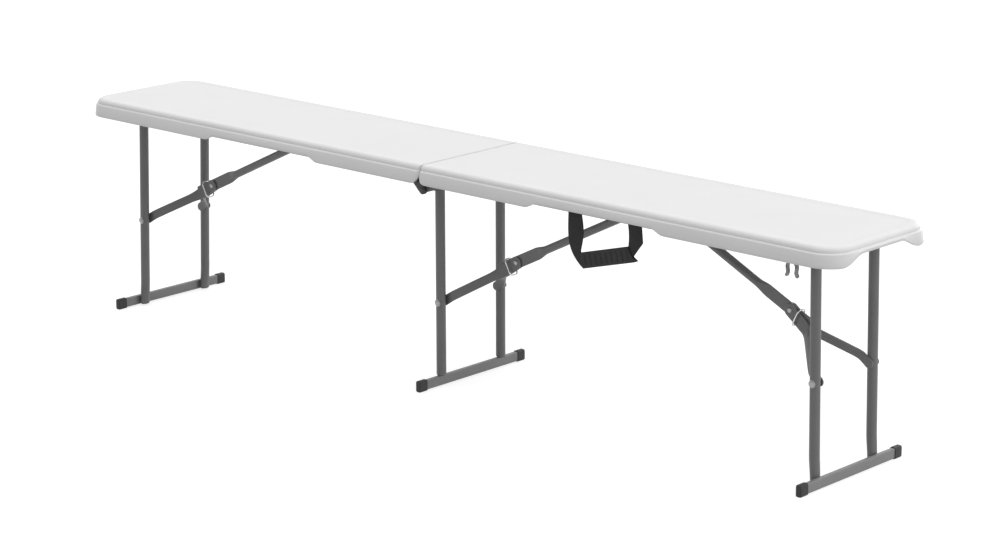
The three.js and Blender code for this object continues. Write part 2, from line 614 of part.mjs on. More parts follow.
function addLeg(name, leg) {
  const { pivotX, pivotHeight, footOffset, out } = leg;
  const frame = new THREE.Group();
  frame.position.set(pivotX, 0, pivotHeight);
  bench.add(frame);
  const { bolt } = legLayout(leg);
  const footX = out * footOffset;
  const footZ = BAR_CENTRE - pivotHeight;
  addMesh(frame, `${name}_leg_cross_tube`, crossTube(), PAINTED_STEEL);
  addMesh(frame, `${name}_leg_foot_bar`, footBar(footX, footZ), PAINTED_STEEL);
  for (const [end, side] of [["front", -1], ["rear", 1]]) {
    addMesh(frame, `${name}_leg_${end}_tube`, legTube(leg, side), PAINTED_STEEL);
    addMesh(frame, `${name}_leg_${end}_cap`, footCap(footX, footZ, side), BLACK_PLASTIC);
    addMesh(frame, `${name}_leg_${end}_bolt`, legBolt(bolt.x, bolt.y, side), ZINC_STEEL);
  }
}

// Braces

// Where a brace's pivots lie at rest, and how long its arms are. The arms are as long as they must be
// for the knee to lie at its offset when open, and at its stowed height when the leg is folded: the
// bolt then lies nearly level with the leg's pivot. Each length depends a little on the other, so they
// are worked out a few times over.
function braceLayout({ leg, anchorDistance, kneeOffset, rise }) {
  const { pivotX, pivotHeight, stowedDrop } = leg;
  const { bolt } = legLayout(leg);
  const foot = new THREE.Vector2(pivotX + bolt.x, pivotHeight + bolt.y);
  const anchor = new THREE.Vector2(pivotX + rise * anchorDistance, ANCHOR_HEIGHT);
  const stowedBolt = Math.sqrt(BOLT_DISTANCE ** 2 - stowedDrop ** 2);
  const drop = pivotHeight - stowedDrop - KNEE_STOWED_HEIGHT;
  const span = anchor.clone().sub(foot);
  const reach = span.length();
  let excess = anchorDistance - stowedBolt; // upper arm's length over the lower arm's
  let lowerLength;
  let upperLength;
  for (let round = 0; round < FITTING_ROUNDS; round++) {
    const bow = 1 + (2 * kneeOffset) ** 2 / (reach ** 2 - excess ** 2);
    lowerLength = (reach * Math.sqrt(bow) - excess) / 2;
    const stowedKnee = stowedBolt - Math.sqrt(lowerLength ** 2 - drop ** 2);
    upperLength = Math.hypot(anchorDistance - stowedKnee, ANCHOR_HEIGHT - KNEE_STOWED_HEIGHT);
    excess = upperLength - lowerLength;
  }
  const along = (lowerLength ** 2 + reach ** 2 - upperLength ** 2) / (2 * reach);
  const above = Math.sqrt(lowerLength ** 2 - along ** 2);
  const axis = span.divideScalar(reach);
  const normal = new THREE.Vector2(-rise * axis.y, rise * axis.x);
  const knee = foot.clone().addScaledVector(axis, along).addScaledVector(normal, above);
  return { foot, anchor, knee, upperLength, lowerLength };
}

const slope = (from, to) => Math.atan2(to.y - from.y, to.x - from.x);

// A frame with its origin at one pivot and its x axis towards another.
function armFrame(from, to) {
  const frame = new THREE.Group();
  frame.position.set(from.x, 0, from.y);
  frame.rotation.y = -slope(from, to);
  bench.add(frame);
  return frame;
}

// Round tube, flattened round the knee: the width grows and the thickness shrinks along the neck.
function upperArm(length) {
  const section = (x, flat, trim) => {
    const halfY = THREE.MathUtils.lerp(UPPER_TUBE_DIAMETER, UPPER_FLAT_THICKNESS, flat) / 2;
    const halfZ = (THREE.MathUtils.lerp(UPPER_TUBE_DIAMETER, UPPER_FLAT_WIDTH, flat) / 2) * trim;
    return Array.from({ length: SIDES }, (_, i) => {
      const angle = (2 * Math.PI * (i + 0.5)) / SIDES;
      const square = THREE.MathUtils.lerp(1, FLAT_SQUARENESS, flat);
      const c = Math.sign(Math.cos(angle)) * Math.abs(Math.cos(angle)) ** square;
      const s = Math.sign(Math.sin(angle)) * Math.abs(Math.sin(angle)) ** square;
      return new THREE.Vector3(x, halfY * c, halfZ * s);
    });
  };
  const neckShares = [0, 0.33, 0.67, 1];
  const neckStart = UPPER_FLAT_LENGTH;
  const body = loft([
    ...TAIL_SHARES.map(([along, trim]) => section(-UPPER_TAIL + along * UPPER_FLAT_WIDTH, 1, trim)),
    ...neckShares.map((share) => section(neckStart + share * UPPER_NECK_LENGTH, 1 - smooth(share), 1)),
    section(length + UPPER_END_MARGIN, 0, 1),
  ]);
  const boreStart = neckStart + UPPER_NECK_LENGTH;
  const boreEnd = length + UPPER_END_MARGIN + OVERRUN;
  const bore = new THREE.CylinderGeometry(
    UPPER_TUBE_DIAMETER / 2 - UPPER_TUBE_WALL,
    UPPER_TUBE_DIAMETER / 2 - UPPER_TUBE_WALL,
    boreEnd - boreStart,
    SIDES,
  )
    .rotateZ(Math.PI / 2)
    .translate((boreStart + boreEnd) / 2, 0, 0);
  const kneeHole = holeY(BOLT_DIAMETER, 0, 0, UPPER_TUBE_DIAMETER);
  const anchorHole = holeY(ROD_DIAMETER, length, 0, UPPER_TUBE_DIAMETER);
  return cut(body, bore, kneeHole, anchorHole);
}

// Flat strip bent out of the knee to lie against the leg tube: its plan, a strip of even thickness,
// meets its side view, which is broad round the knee and narrow towards the bolt.
function lowerArm(side, length) {
  const middle = [
    [-ARM_HEAD_HALF_WIDTH - OVERRUN, ARM_MIDDLE],
    [ARM_PARALLEL_LENGTH, ARM_MIDDLE],
    [length - ARM_FOOT_LENGTH, ARM_FOOT_MIDDLE],
    [length + ARM_HALF_WIDTH + OVERRUN, ARM_FOOT_MIDDLE],
  ].map(([x, y]) => new THREE.Vector2(x, y));
  const half = ARM_THICKNESS / 2;
  const bend = Math.atan2(ARM_FOOT_MIDDLE - ARM_MIDDLE, length - ARM_FOOT_LENGTH - ARM_PARALLEL_LENGTH);
  const mitre = half * Math.tan(bend / 2);
  const shift = [0, mitre, -mitre, 0];
  const inner = middle.map((p, i) => [p.x + shift[i], p.y - half]);
  const outer = middle.map((p, i) => [p.x - shift[i], p.y + half]);
  const plan = [...inner, ...outer.reverse()].map(([x, y]) => [x, side * y]);
  const tall = 2 * ARM_HEAD_HALF_WIDTH;
  const strip = extrude(outline(side > 0 ? plan : plan.toReversed()), 2 * tall).translate(0, 0, -tall);
  const quarter = Math.PI / 2;
  const sideView = [
    ...arc(0, 0, ARM_HEAD_HALF_WIDTH, quarter, 3 * quarter, HEAD_STEPS),
    [ARM_HEAD_LENGTH, -ARM_HEAD_HALF_WIDTH],
    [ARM_HEAD_LENGTH + ARM_TAPER_LENGTH, -ARM_HALF_WIDTH],
    ...arc(length, 0, ARM_HALF_WIDTH, -quarter, quarter, FOOT_STEPS),
    [ARM_HEAD_LENGTH + ARM_TAPER_LENGTH, ARM_HALF_WIDTH],
    [ARM_HEAD_LENGTH, ARM_HEAD_HALF_WIDTH],
  ];
  const reach = TUBE_HALF_SPACING + OVERRUN;
  const arm = meet(strip, extrudeY(outline(sideView), -reach, reach));
  return cut(arm, holeY(BOLT_DIAMETER, 0, 0, reach), holeY(BOLT_DIAMETER, length, 0, reach));
}

function kneeRivet() {
  const head = ARM_OUTER_FACE + RUN;
  const top = head + RIVET_HEAD_HEIGHT;
  const profile = [
    [0, -top],
    [RIVET_HEAD_DIAMETER * HEAD_CROWN_SHARE, -top],
    [RIVET_HEAD_DIAMETER / 2, -head - RIVET_HEAD_HEIGHT * HEAD_RIM_SHARE],
    [RIVET_HEAD_DIAMETER / 2, -head],
    [BOLT_DIAMETER / 2, -head],
  ];
  const mirrored = profile.map(([r, y]) => [r, -y]).reverse();
  const whole = [...profile, ...mirrored].map(([r, y]) => new THREE.Vector2(r, y));
  return new THREE.LatheGeometry(whole, FINE_SIDES);
}

// A wire loop round the arms. It hangs on their upper edge, which is on the side given by up.
function lockRing(up) {
  const wire = WIRE_DIAMETER / 2;
  const halfY = RING_HALF_WIDTH + wire;
  const halfZ = RING_HALF_HEIGHT + wire;
  const hang = RING_HALF_HEIGHT - UPPER_FLAT_WIDTH / 2 - RUN;
  const quarter = Math.PI / 2;
  const corners = [
    [halfY - RING_CORNER, RING_CORNER - halfZ, -1],
    [halfY - RING_CORNER, halfZ - RING_CORNER, 0],
    [RING_CORNER - halfY, halfZ - RING_CORNER, 1],
    [RING_CORNER - halfY, RING_CORNER - halfZ, 2],
  ];
  const steps = Array.from({ length: RING_CORNER_STEPS + 1 }, (_, i) => i / RING_CORNER_STEPS);
  const rings = corners.flatMap(([y, z, turn]) =>
    steps.map((share) => {
      const angle = (turn + share) * quarter;
      const outwards = new THREE.Vector3(0, Math.cos(angle), Math.sin(angle));
      const centre = new THREE.Vector3(-RING_OFFSET, y, z - up * hang);
      centre.addScaledVector(outwards, RING_CORNER);
      return Array.from({ length: FINE_SIDES / 2 }, (_, i) => {
        const around = (2 * Math.PI * i) / (FINE_SIDES / 2);
        const point = centre.clone().addScaledVector(outwards, wire * Math.cos(around));
        return point.setX(point.x + wire * Math.sin(around));
      });
    }),
  );
  return loft(rings, true);
}

// A bracket with two ears under the panel, and the pin that the upper arm turns on.
function anchorBracket(x) {
  const inside = UPPER_TUBE_DIAMETER / 2 + RUN;
  const outside = inside + ANCHOR_EAR;
  const top = PANEL_UNDERSIDE - RUN;
  const plate = new THREE.BoxGeometry(2 * ANCHOR_PLATE_HALF_LENGTH, 2 * outside, ANCHOR_EAR);
  plate.translate(x, 0, top - ANCHOR_EAR / 2);
  const ear = hull([
    ...arc(x, ANCHOR_HEIGHT, ROD_DIAMETER, 0, 2 * Math.PI, FINE_SIDES),
    [x - ANCHOR_EAR_HALF_WIDTH, top - ANCHOR_EAR / 2],
    [x + ANCHOR_EAR_HALF_WIDTH, top - ANCHOR_EAR / 2],
  ]);
  const ears = [[-outside, -inside], [inside, outside]].map(([y0, y1]) => extrudeY(outline(ear), y0, y1));
  const pin = barY(ROD_DIAMETER, x, ANCHOR_HEIGHT, -outside - RUN, outside + RUN);
  return join(plate, ...ears, pin);
}

function addBrace(name, brace) {
  const { foot, anchor, knee, upperLength, lowerLength } = braceLayout(brace);
  const upper = armFrame(knee, anchor);
  const up = Math.sign(Math.cos(slope(knee, anchor)));
  addMesh(upper, `${name}_brace_upper_arm`, upperArm(upperLength), PAINTED_STEEL);
  addMesh(upper, `${name}_brace_knee_rivet`, kneeRivet(), ZINC_STEEL);
  addMesh(upper, `${name}_brace_lock_ring`, lockRing(up), ZINC_STEEL);
  const lower = armFrame(knee, foot);
  addMesh(lower, `${name}_brace_front_arm`, lowerArm(-1, lowerLength), PAINTED_STEEL);
  addMesh(lower, `${name}_brace_rear_arm`, lowerArm(1, lowerLength), PAINTED_STEEL);
  addMesh(bench, `${name}_brace_anchor`, anchorBracket(anchor.x), PAINTED_STEEL);
}

// Carry handle

const strapMiddle = -RAIL_HALF_SPACING - RUN - STRAP_THICKNESS / 2;

// The corners of the grip's front face, from the ends of the two hanging runs.
function gripCorners() {
  const left = new THREE.Vector2(STRAP_LEFT + STRAP_SLANT, HANDLE_HEIGHT - STRAP_LEFT_DROP);
  const right = new THREE.Vector2(STRAP_RIGHT - STRAP_RIGHT_SLANT, HANDLE_HEIGHT - STRAP_RIGHT_DROP);
  const tilt = Math.atan2(right.y - left.y, right.x - left.x);
  return { left, right, tilt, length: left.distanceTo(right) };
}

// One hanging run: it leans in and narrows towards the grip, which it ends against.
function strapRun(topX, direction, drop, slant) {
  const end = HANDLE_HEIGHT - drop + GRIP_WIDTH / 2;
  const top = HANDLE_HEIGHT;
  const edge = (width) =>
    Array.from({ length: STRAP_STEPS + 1 }, (_, i) => {
      const share = i / STRAP_STEPS;
      const lean = slant * share ** STRAP_BOW;
      const narrow = width * (1 - (STRAP_NARROWING / STRAP_WIDTH) * share ** STRAP_TAPER);
      return [topX + direction * (lean + narrow), top + (end - top) * share];
    });
  const points = [...edge(0), ...edge(STRAP_WIDTH).reverse()];
  const shape = outline(direction > 0 ? points : points.toReversed());
  const run = extrudeY(shape, strapMiddle - STRAP_THICKNESS / 2, strapMiddle + STRAP_THICKNESS / 2);
  return cut(run, placeGrip(gripBar(RUN)));
}

// A flat bar with rounded edges, larger all round by the amount given.
function gripBar(margin) {
  const section = roundedBox(GRIP_THICKNESS + 2 * margin, GRIP_WIDTH + 2 * margin, GRIP_ROUND);
  return extrudeX(section, -margin, gripCorners().length + margin);
}

function placeGrip(geometry) {
  const { left, tilt } = gripCorners();
  return geometry
    .translate(0, 0, GRIP_WIDTH / 2)
    .rotateY(-tilt)
    .translate(left.x, strapMiddle, left.y);
}

// The grip, with shallow grooves across its front for the fingers.
function grip() {
  const { length } = gripCorners();
  const pitch = length / (GRIP_RIBS + 1);
  const grooves = Array.from({ length: GRIP_RIBS }, (_, i) => {
    const groove = new THREE.BoxGeometry(GRIP_RIB_WIDTH, 2 * GRIP_RIB_DEPTH, GRIP_WIDTH - 2 * GRIP_ROUND);
    return groove.translate((i + 1) * pitch, -GRIP_THICKNESS / 2, 0);
  });
  return placeGrip(cut(gripBar(0), ...grooves));
}

// Closing clip: an arch on a stem under the rail, whose prongs close on the other half's cross tube.
function closingClip() {
  const inner = CROSS_TUBE_DIAMETER / 2 + CLIP_CLEARANCE;
  const outer = inner + CLIP_THICKNESS;
  const x = LEFT_PIVOT;
  const base = RAIL_TOP - RAIL_THICKNESS - RUN;
  const edge = (radius) => [
    [x + radius + CLIP_FLARE, CLIP_TIP_HEIGHT],
    [x + radius - CLIP_PINCH, CLIP_THROAT_HEIGHT],
    ...arc(x, CLIP_ARCH_HEIGHT, radius, 0, Math.PI, CLIP_ARC_STEPS),
    [x - radius + CLIP_PINCH, CLIP_THROAT_HEIGHT],
    [x - radius - CLIP_FLARE, CLIP_TIP_HEIGHT],
  ];
  const points = [...edge(outer), ...edge(inner).reverse()];
  const y0 = -CLIP_SPACING - CLIP_DEPTH / 2;
  const y1 = y0 + CLIP_DEPTH;
  const hook = extrudeY(outline(points), y0, y1);
  const stemBottom = CLIP_ARCH_HEIGHT + inner + CLIP_THICKNESS / 2;
  const stem = new THREE.BoxGeometry(2 * CLIP_STEM_HALF_WIDTH, CLIP_DEPTH, base - stemBottom);
  stem.translate(x, (y0 + y1) / 2, (base + stemBottom) / 2);
  const foot = new THREE.BoxGeometry(2 * CLIP_BASE_HALF_WIDTH, CLIP_DEPTH, CLIP_THICKNESS);
  foot.translate(x, (y0 + y1) / 2, base - CLIP_THICKNESS / 2);
  return join(hook, stem, foot);
}

// Assembly

const ends = [["front", -1], ["rear", 1]];
const halves = [
  { name: "left", pivotX: LEFT_PIVOT, layer: 1, mirror: -1 },
  { name: "right", pivotX: RIGHT_PIVOT, layer: 0, mirror: 1 },
];
for (const { name, pivotX, layer, mirror } of halves) {
  const half = new THREE.Group();
  half.scale.x = mirror;
  bench.add(half);
  addMesh(half, `${name}_seat_panel`, seatHalf(), WHITE_HDPE);
  const rod = RAIL_HALF_SPACING + ROD_STAND_OUT;
  const pivotRod = barY(ROD_DIAMETER, pivotX, END_PIVOT_HEIGHT, -rod, rod);
  addMesh(half, `${name}_leg_pivot_rod`, pivotRod, ZINC_STEEL);
  for (const [end, side] of ends) {
    const holes = [[pivotX, END_PIVOT_HEIGHT]];
    addMesh(half, `${name}_${end}_rail`, rail(side, pivotX, holes), PAINTED_STEEL);
    addMesh(half, `${name}_${end}_hinge_leaf`, hingeLeaf(side, layer), DARK_STEEL);
  }
}
addMesh(bench, "hinge_pin", hingePin(), ZINC_STEEL);

const endLeg = { pivotHeight: END_PIVOT_HEIGHT, stowedDrop: STOWED_BOLT_DROP };
const legs = {
  left: { ...endLeg, pivotX: -LEFT_PIVOT, footOffset: LEFT_FOOT_OFFSET, out: -1 },
  centre: { pivotX: 0, pivotHeight: HINGE_HEIGHT, stowedDrop: 0, footOffset: 0, out: 1 },
  right: { ...endLeg, pivotX: RIGHT_PIVOT, footOffset: RIGHT_FOOT_OFFSET, out: 1 },
};
const braces = {
  left: { leg: legs.left, anchorDistance: LEFT_ANCHOR, kneeOffset: LEFT_KNEE_OFFSET, rise: 1 },
  centre: { leg: legs.centre, anchorDistance: CENTRE_ANCHOR, kneeOffset: CENTRE_KNEE_OFFSET, rise: 1 },
  right: { leg: legs.right, anchorDistance: RIGHT_ANCHOR, kneeOffset: RIGHT_KNEE_OFFSET, rise: -1 },
};
for (const [name, leg] of Object.entries(legs)) addLeg(name, leg);
for (const [name, brace] of Object.entries(braces)) addBrace(name, brace);

const leftStrap = strapRun(STRAP_LEFT, 1, STRAP_LEFT_DROP, STRAP_SLANT);
const rightStrap = strapRun(STRAP_RIGHT, -1, STRAP_RIGHT_DROP, STRAP_RIGHT_SLANT);
addMesh(bench, "handle_left_strap", leftStrap, BLACK_WEBBING);
addMesh(bench, "handle_right_strap", rightStrap, BLACK_WEBBING);
addMesh(bench, "handle_grip", grip(), BLACK_PLASTIC);
addMesh(bench, "closing_clip", closingClip(), PAINTED_STEEL);

export default bench;
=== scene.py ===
"""Looks of a folding bench: a white blow-moulded seat in two halves on grey tubular steel legs.

Every piece is a surface worked out with numpy in millimetres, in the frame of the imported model:
+X runs along the seat to the end with the handle, +Y to the rear and +Z up from the floor.
"""

from __future__ import annotations

import logging
import math
from dataclasses import dataclass, field
from enum import Enum
from typing import Any, Sequence

import bpy
import numpy as np
from mathutils import Matrix, Vector

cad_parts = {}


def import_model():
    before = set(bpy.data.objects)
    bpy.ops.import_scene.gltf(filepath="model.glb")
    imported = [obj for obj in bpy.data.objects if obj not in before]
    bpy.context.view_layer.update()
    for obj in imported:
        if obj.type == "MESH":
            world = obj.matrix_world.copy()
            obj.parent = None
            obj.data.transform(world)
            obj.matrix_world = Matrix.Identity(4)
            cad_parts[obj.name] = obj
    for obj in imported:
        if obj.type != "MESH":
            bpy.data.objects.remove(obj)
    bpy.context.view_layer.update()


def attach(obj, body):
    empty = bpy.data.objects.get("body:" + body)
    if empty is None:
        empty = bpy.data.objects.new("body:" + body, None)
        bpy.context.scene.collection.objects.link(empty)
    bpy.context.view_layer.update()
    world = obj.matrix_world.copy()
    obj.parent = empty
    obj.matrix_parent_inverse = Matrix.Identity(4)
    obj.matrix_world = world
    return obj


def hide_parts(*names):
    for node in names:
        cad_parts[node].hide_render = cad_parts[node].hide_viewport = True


LOG = logging.getLogger("bench")
MM = 0.001
Array = np.ndarray
Number = Array | float
Pair = tuple[float, float]
Values = dict[str | int, Any]
WHITE = (1.0, 1.0, 1.0, 1.0)
LEFT_PIVOT = 806.0
RIGHT_PIVOT = 834.0
END_PIVOT_Z = 393.0
HINGE_Z = 374.0
PANEL_Z = 404.7
RUN = 0.3


def smooth_step(t: Number) -> Array:
    """Rises from 0 to 1 along 3t^2 - 2t^3, and is level at both ends.

    Args:
        t: Where along the step, 0 to 1; values outside are clipped.

    Returns:
        The height of the step.
    """
    s = np.clip(t, 0.0, 1.0)
    return s * s * (3.0 - 2.0 * s)


def to_linear(hex_colour: str) -> tuple[float, float, float, float]:
    """Turns an sRGB hex colour into the linear values that a shader takes.

    Args:
        hex_colour: Six hex digits after a hash sign.

    Returns:
        Linear red, green and blue, and an alpha of 1.
    """
    channels = [int(hex_colour[i : i + 2], 16) / 255.0 for i in (1, 3, 5)]
    linear = [c / 12.92 if c <= 0.04045 else ((c + 0.055) / 1.055) ** 2.4 for c in channels]
    return (*linear, 1.0)


def add_node(tree: bpy.types.NodeTree, kind: str, settings: Values, links: Values) -> bpy.types.Node:
    """Adds a shader node with its settings and its links.

    Args:
        tree: The node tree.
        kind: The node's type name.
        settings: Values by property name, or by input name or number.
        links: Output sockets by the name or number of the input that they feed.

    Returns:
        The new node.
    """
    node = tree.nodes.new(kind)
    for name, value in settings.items():
        if isinstance(name, str) and hasattr(node, name):
            setattr(node, name, value)
        else:
            node.inputs[name].default_value = value
    for name, socket in links.items():
        tree.links.new(socket, node.inputs[name])
    return node


def maths(tree: bpy.types.NodeTree, operation: str, *terms: Any) -> Any:
    """Adds a maths node.

    Args:
        tree: The node tree.
        operation: What the node does.
        *terms: Its terms in order, each a float or a socket.

    Returns:
        The socket with the result.
    """
    numbers = {place: term for place, term in enumerate(terms) if isinstance(term, float)}
    sockets = {place: term for place, term in enumerate(terms) if place not in numbers}
    return add_node(tree, "ShaderNodeMath", {"operation": operation, **numbers}, sockets).outputs[0]


def mixed(tree: bpy.types.NodeTree, first: str, second: str, share: Any) -> Any:
    """Adds a node that mixes two colours.

    Args:
        tree: The node tree.
        first: The hex colour at a share of 0.
        second: The hex colour at a share of 1.
        share: The socket with the share.

    Returns:
        The socket with the colour.
    """
    settings = {"data_type": "RGBA", 6: to_linear(first), 7: to_linear(second)}
    return add_node(tree, "ShaderNodeMix", settings, {0: share}).outputs[2]


def empty_tree(owner: bpy.types.Material | bpy.types.World) -> bpy.types.NodeTree:
    """Gives a material or a world a node tree with nothing in it.

    Args:
        owner: The material or the world.

    Returns:
        The tree.
    """
    owner.use_nodes = True
    owner.node_tree.nodes.clear()
    return owner.node_tree


def put(name: str, data: bpy.types.ID) -> bpy.types.Object:
    """Puts a new object into the scene.

    Args:
        name: The object's name.
        data: Its mesh, lamp or camera.

    Returns:
        The object.
    """
    thing = bpy.data.objects.new(name, data)
    bpy.context.scene.collection.objects.link(thing)
    return thing


@dataclass(frozen=True)
class Finish:
    """A finish with a mottled colour, an uneven gloss and a fine relief.

    Each colour drifts between two tones over patches of patch_mm. The relief is noise with grains
    of grain_mm, which stand relief_mm high.
    """

    name: str
    colour: str
    second_colour: str
    roughness: float
    roughness_spread: float = 0.06
    metallic: float = 0.0
    ior: float = 1.5
    coat: float = 0.0
    patch_mm: float = 20.0
    grain_mm: float = 2.0
    relief_mm: float = 0.03

    def height(self, tree: bpy.types.NodeTree, place: Any) -> Any:
        """Height of the relief, 0 to 1, from noise at the grain's size.

        Args:
            tree: The material's node tree.
            place: The socket with Object coordinates, in metres.

        Returns:
            The socket with the height.
        """
        settings = {"Scale": 1.0 / (self.grain_mm * MM), "Detail": 2.0}
        grain = add_node(tree, "ShaderNodeTexNoise", settings, {"Vector": place})
        return grain.outputs["Fac"]

    def build(self) -> bpy.types.Material:
        """Makes the material.

        Returns:
            The material, ready to assign.
        """
        material = bpy.data.materials.new(self.name)
        tree = empty_tree(material)
        place = add_node(tree, "ShaderNodeTexCoord", {}, {}).outputs["Object"]
        noise = {"Scale": 1.0 / (self.patch_mm * MM), "Detail": 3.0}
        patches = add_node(tree, "ShaderNodeTexNoise", noise, {"Vector": place}).outputs["Fac"]
        colour = mixed(tree, self.colour, self.second_colour, patches)
        spread = self.roughness_spread
        limits = {"To Min": self.roughness - spread, "To Max": self.roughness + spread}
        gloss = add_node(tree, "ShaderNodeMapRange", limits, {"Value": patches})
        bump = {"Strength": 1.0, "Distance": self.relief_mm * MM}
        relief = add_node(tree, "ShaderNodeBump", bump, {"Height": self.height(tree, place)})
        shader = add_node(
            tree,
            "ShaderNodeBsdfPrincipled",
            {"Metallic": self.metallic, "IOR": self.ior, "Coat Weight": self.coat},
            {"Base Color": colour, "Roughness": gloss.outputs[0], "Normal": relief.outputs[0]},
        )
        add_node(tree, "ShaderNodeOutputMaterial", {}, {"Surface": shader.outputs[0]})
        return material


@dataclass(frozen=True)
class WovenFinish(Finish):
    """A finish whose relief is a plain weave in the XZ plane, threads pitch_mm apart.

    The height is the product of two sine waves, one along X and one along Z.
    """

    pitch_mm: float = 2.4

    def height(self, tree: bpy.types.NodeTree, place: Any) -> Any:
        """Height of the weave, 0 to 1.

        Args:
            tree: The material's node tree.
            place: The socket with Object coordinates, in metres.

        Returns:
            The socket with the height.
        """
        axes = add_node(tree, "ShaderNodeSeparateXYZ", {}, {0: place})
        turns = 2.0 * math.pi / (self.pitch_mm * MM)
        angles = [maths(tree, "MULTIPLY", axes.outputs[axis], turns) for axis in ("X", "Z")]
        product = maths(tree, "MULTIPLY", *[maths(tree, "SINE", angle) for angle in angles])
        return add_node(tree, "ShaderNodeMapRange", {"From Min": -1.0}, {"Value": product}).outputs[0]


class Slot(Enum):
    """The record's material slots, each with its finish."""

    # High-density polyethylene, blow-moulded: milky white with a faint even grain from the mould.
    # The real grain is under 1 mm, and is drawn at 3 mm so that it shows.
    SEAT = (
        "white_hdpe",
        Finish(
            "blow_moulded_hdpe",
            "#EAEAEA",
            "#E5E5E5",
            roughness=0.5,
            ior=1.54,
            patch_mm=120.0,
            grain_mm=3.0,
            relief_mm=0.05,
        ),
    )
    # Powder coat on steel: satin grey with the slight orange peel of melted powder.
    FRAME = (
        "painted_steel",
        Finish("satin_grey_powder_coat", "#747474", "#6B6B6B", 0.42, coat=0.1, patch_mm=45.0, grain_mm=2.2),
    )
    # The same coat on the foot bars, in a paler grey: painted light that stands in for the light falling on
    # them.
    BAR = (
        "painted_steel",
        Finish("worn_grey_powder_coat", "#8C8C8C", "#7E7E7E", 0.4, coat=0.1, patch_mm=35.0, grain_mm=2.2),
    )
    # Pressed steel plate under a darker coat, dull where the press drew it.
    PLATE = (
        "dark_steel",
        Finish("dark_coated_pressed_steel", "#3B3B3B", "#333333", 0.5, 0.08, patch_mm=30.0, relief_mm=0.04),
    )
    # The same coat in a lighter grey, on the pressed clip.
    CLIP = (
        "painted_steel",
        Finish("pale_grey_powder_coat", "#A6A6A6", "#9A9A9A", 0.42, coat=0.1),
    )
    # Bright zinc plate on steel: a silver metal, clouded in places by the bath.
    ZINC = (
        "zinc_steel",
        Finish(
            "bright_zinc_plate",
            "#D2D2D2",
            "#BDBDBD",
            roughness=0.28,
            roughness_spread=0.08,
            metallic=1.0,
            patch_mm=12.0,
            grain_mm=1.5,
            relief_mm=0.01,
        ),
    )
    # The same plate on bolts and rivets, a little rougher, and in a darker colour: painted shade that stands
    # in for the darker surroundings they reflect.
    BOLT = (
        "zinc_steel",
        Finish(
            "dulled_zinc_plate",
            "#A8A8A8",
            "#8C8C8C",
            roughness=0.34,
            roughness_spread=0.1,
            metallic=1.0,
            patch_mm=4.0,
            grain_mm=1.5,
            relief_mm=0.02,
        ),
    )
    # Injection-moulded polypropylene: near-black with a spark-eroded matt grain.
    PLASTIC = (
        "black_plastic",
        Finish(
            "moulded_black_polypropylene",
            "#292929",
            "#232323",
            roughness=0.55,
            roughness_spread=0.08,
            ior=1.49,
            grain_mm=1.4,
            relief_mm=0.05,
        ),
    )
    # The handle's grip: the same plastic in a softer grade, which drinks in more light.
    GRIP = (
        "black_plastic",
        Finish(
            "soft_black_polypropylene",
            "#1C1C1C",
            "#161616",
            roughness=0.62,
            roughness_spread=0.08,
            ior=1.45,
            grain_mm=1.4,
            relief_mm=0.05,
        ),
    )
    # Woven polyester webbing. The threads are about 1.2 mm apart, and are drawn at 2.4 mm to show.
    WEBBING = (
        "black_webbing",
        WovenFinish("woven_black_webbing", "#1E1E1E", "#181818", 0.8, patch_mm=25.0, relief_mm=0.25),
    )

    def __init__(self, slot: str, finish: Finish) -> None:
        """Keeps the record's name for the slot, and the finish that it gets."""
        self.slot = slot
        self.finish = finish


@dataclass
class Wardrobe:
    """Makes each finish once, and hands it out."""

    made: dict[Slot, bpy.types.Material] = field(default_factory=dict)

    def get(self, slot: Slot) -> bpy.types.Material:
        """Returns the slot's material, made on first use."""
        if slot not in self.made:
            self.made[slot] = slot.finish.build()
        return self.made[slot]


class Ends(Enum):
    """How a surface on a grid is closed."""

    CAPPED = "first and last rows are filled"
    LOOP = "last row joins the first"
    SPANNED = "first and last rows are filled with quads between their mirrored halves"


@dataclass
class Surface:
    """A closed surface on a grid of rows and columns, in millimetres. Each row is a closed ring."""

    points: Array
    ends: Ends = Ends.CAPPED

    def faces(self, first: int = 0) -> list[list[int]]:
        """Quads between neighbouring rows, then the ends, all facing outwards.

        Args:
            first: The number of the surface's first vertex.

        Returns:
            Lists of vertex numbers.
        """
        rows, columns = self.points.shape[:2]
        numbers = first + np.arange(rows * columns).reshape(rows, columns)
        grid = np.concatenate([numbers, numbers[:, :1]], axis=1)
        if self.ends is Ends.LOOP:
            grid = np.concatenate([grid, grid[:1]], axis=0)
        quads = np.stack([grid[:-1, :-1], grid[:-1, 1:], grid[1:, 1:], grid[1:, :-1]], -1).reshape(-1, 4)
        faces = quads.tolist()
        if self.ends is Ends.CAPPED:
            faces += [numbers[0, ::-1].tolist(), numbers[-1].tolist()]
        if self.ends is Ends.SPANNED:
            for row, turned in ((numbers[0], True), (numbers[-1], False)):
                near = row[: columns // 2]
                far = row[::-1][: columns // 2]
                span = np.stack([near[:-1], near[1:], far[1:], far[:-1]], -1)
                faces += (span[:, ::-1] if turned else span).tolist()
        return [face[::-1] for face in faces] if self.volume() < 0.0 else faces

    def volume(self) -> float:
        """Signed volume over the grid, by the divergence theorem: a sixth of each face's triple product."""
        ring = np.concatenate([self.points, self.points[:, :1]], axis=1)
        if self.ends is Ends.LOOP:
            ring = np.concatenate([ring, ring[:1]], axis=0)
        a, b, c, d = ring[:-1, :-1], ring[:-1, 1:], ring[1:, 1:], ring[1:, :-1]
        total = np.einsum("ijk,ijk->", a, np.cross(b, c)) + np.einsum("ijk,ijk->", a, np.cross(c, d))
        if self.ends is not Ends.LOOP:
            for row, sign in ((self.points[0], -1.0), (self.points[-1], 1.0)):
                middle = row.mean(axis=0)
                total += sign * np.einsum("k,ik->", middle, np.cross(row, np.roll(row, -1, axis=0)))
        return float(total) / 6.0


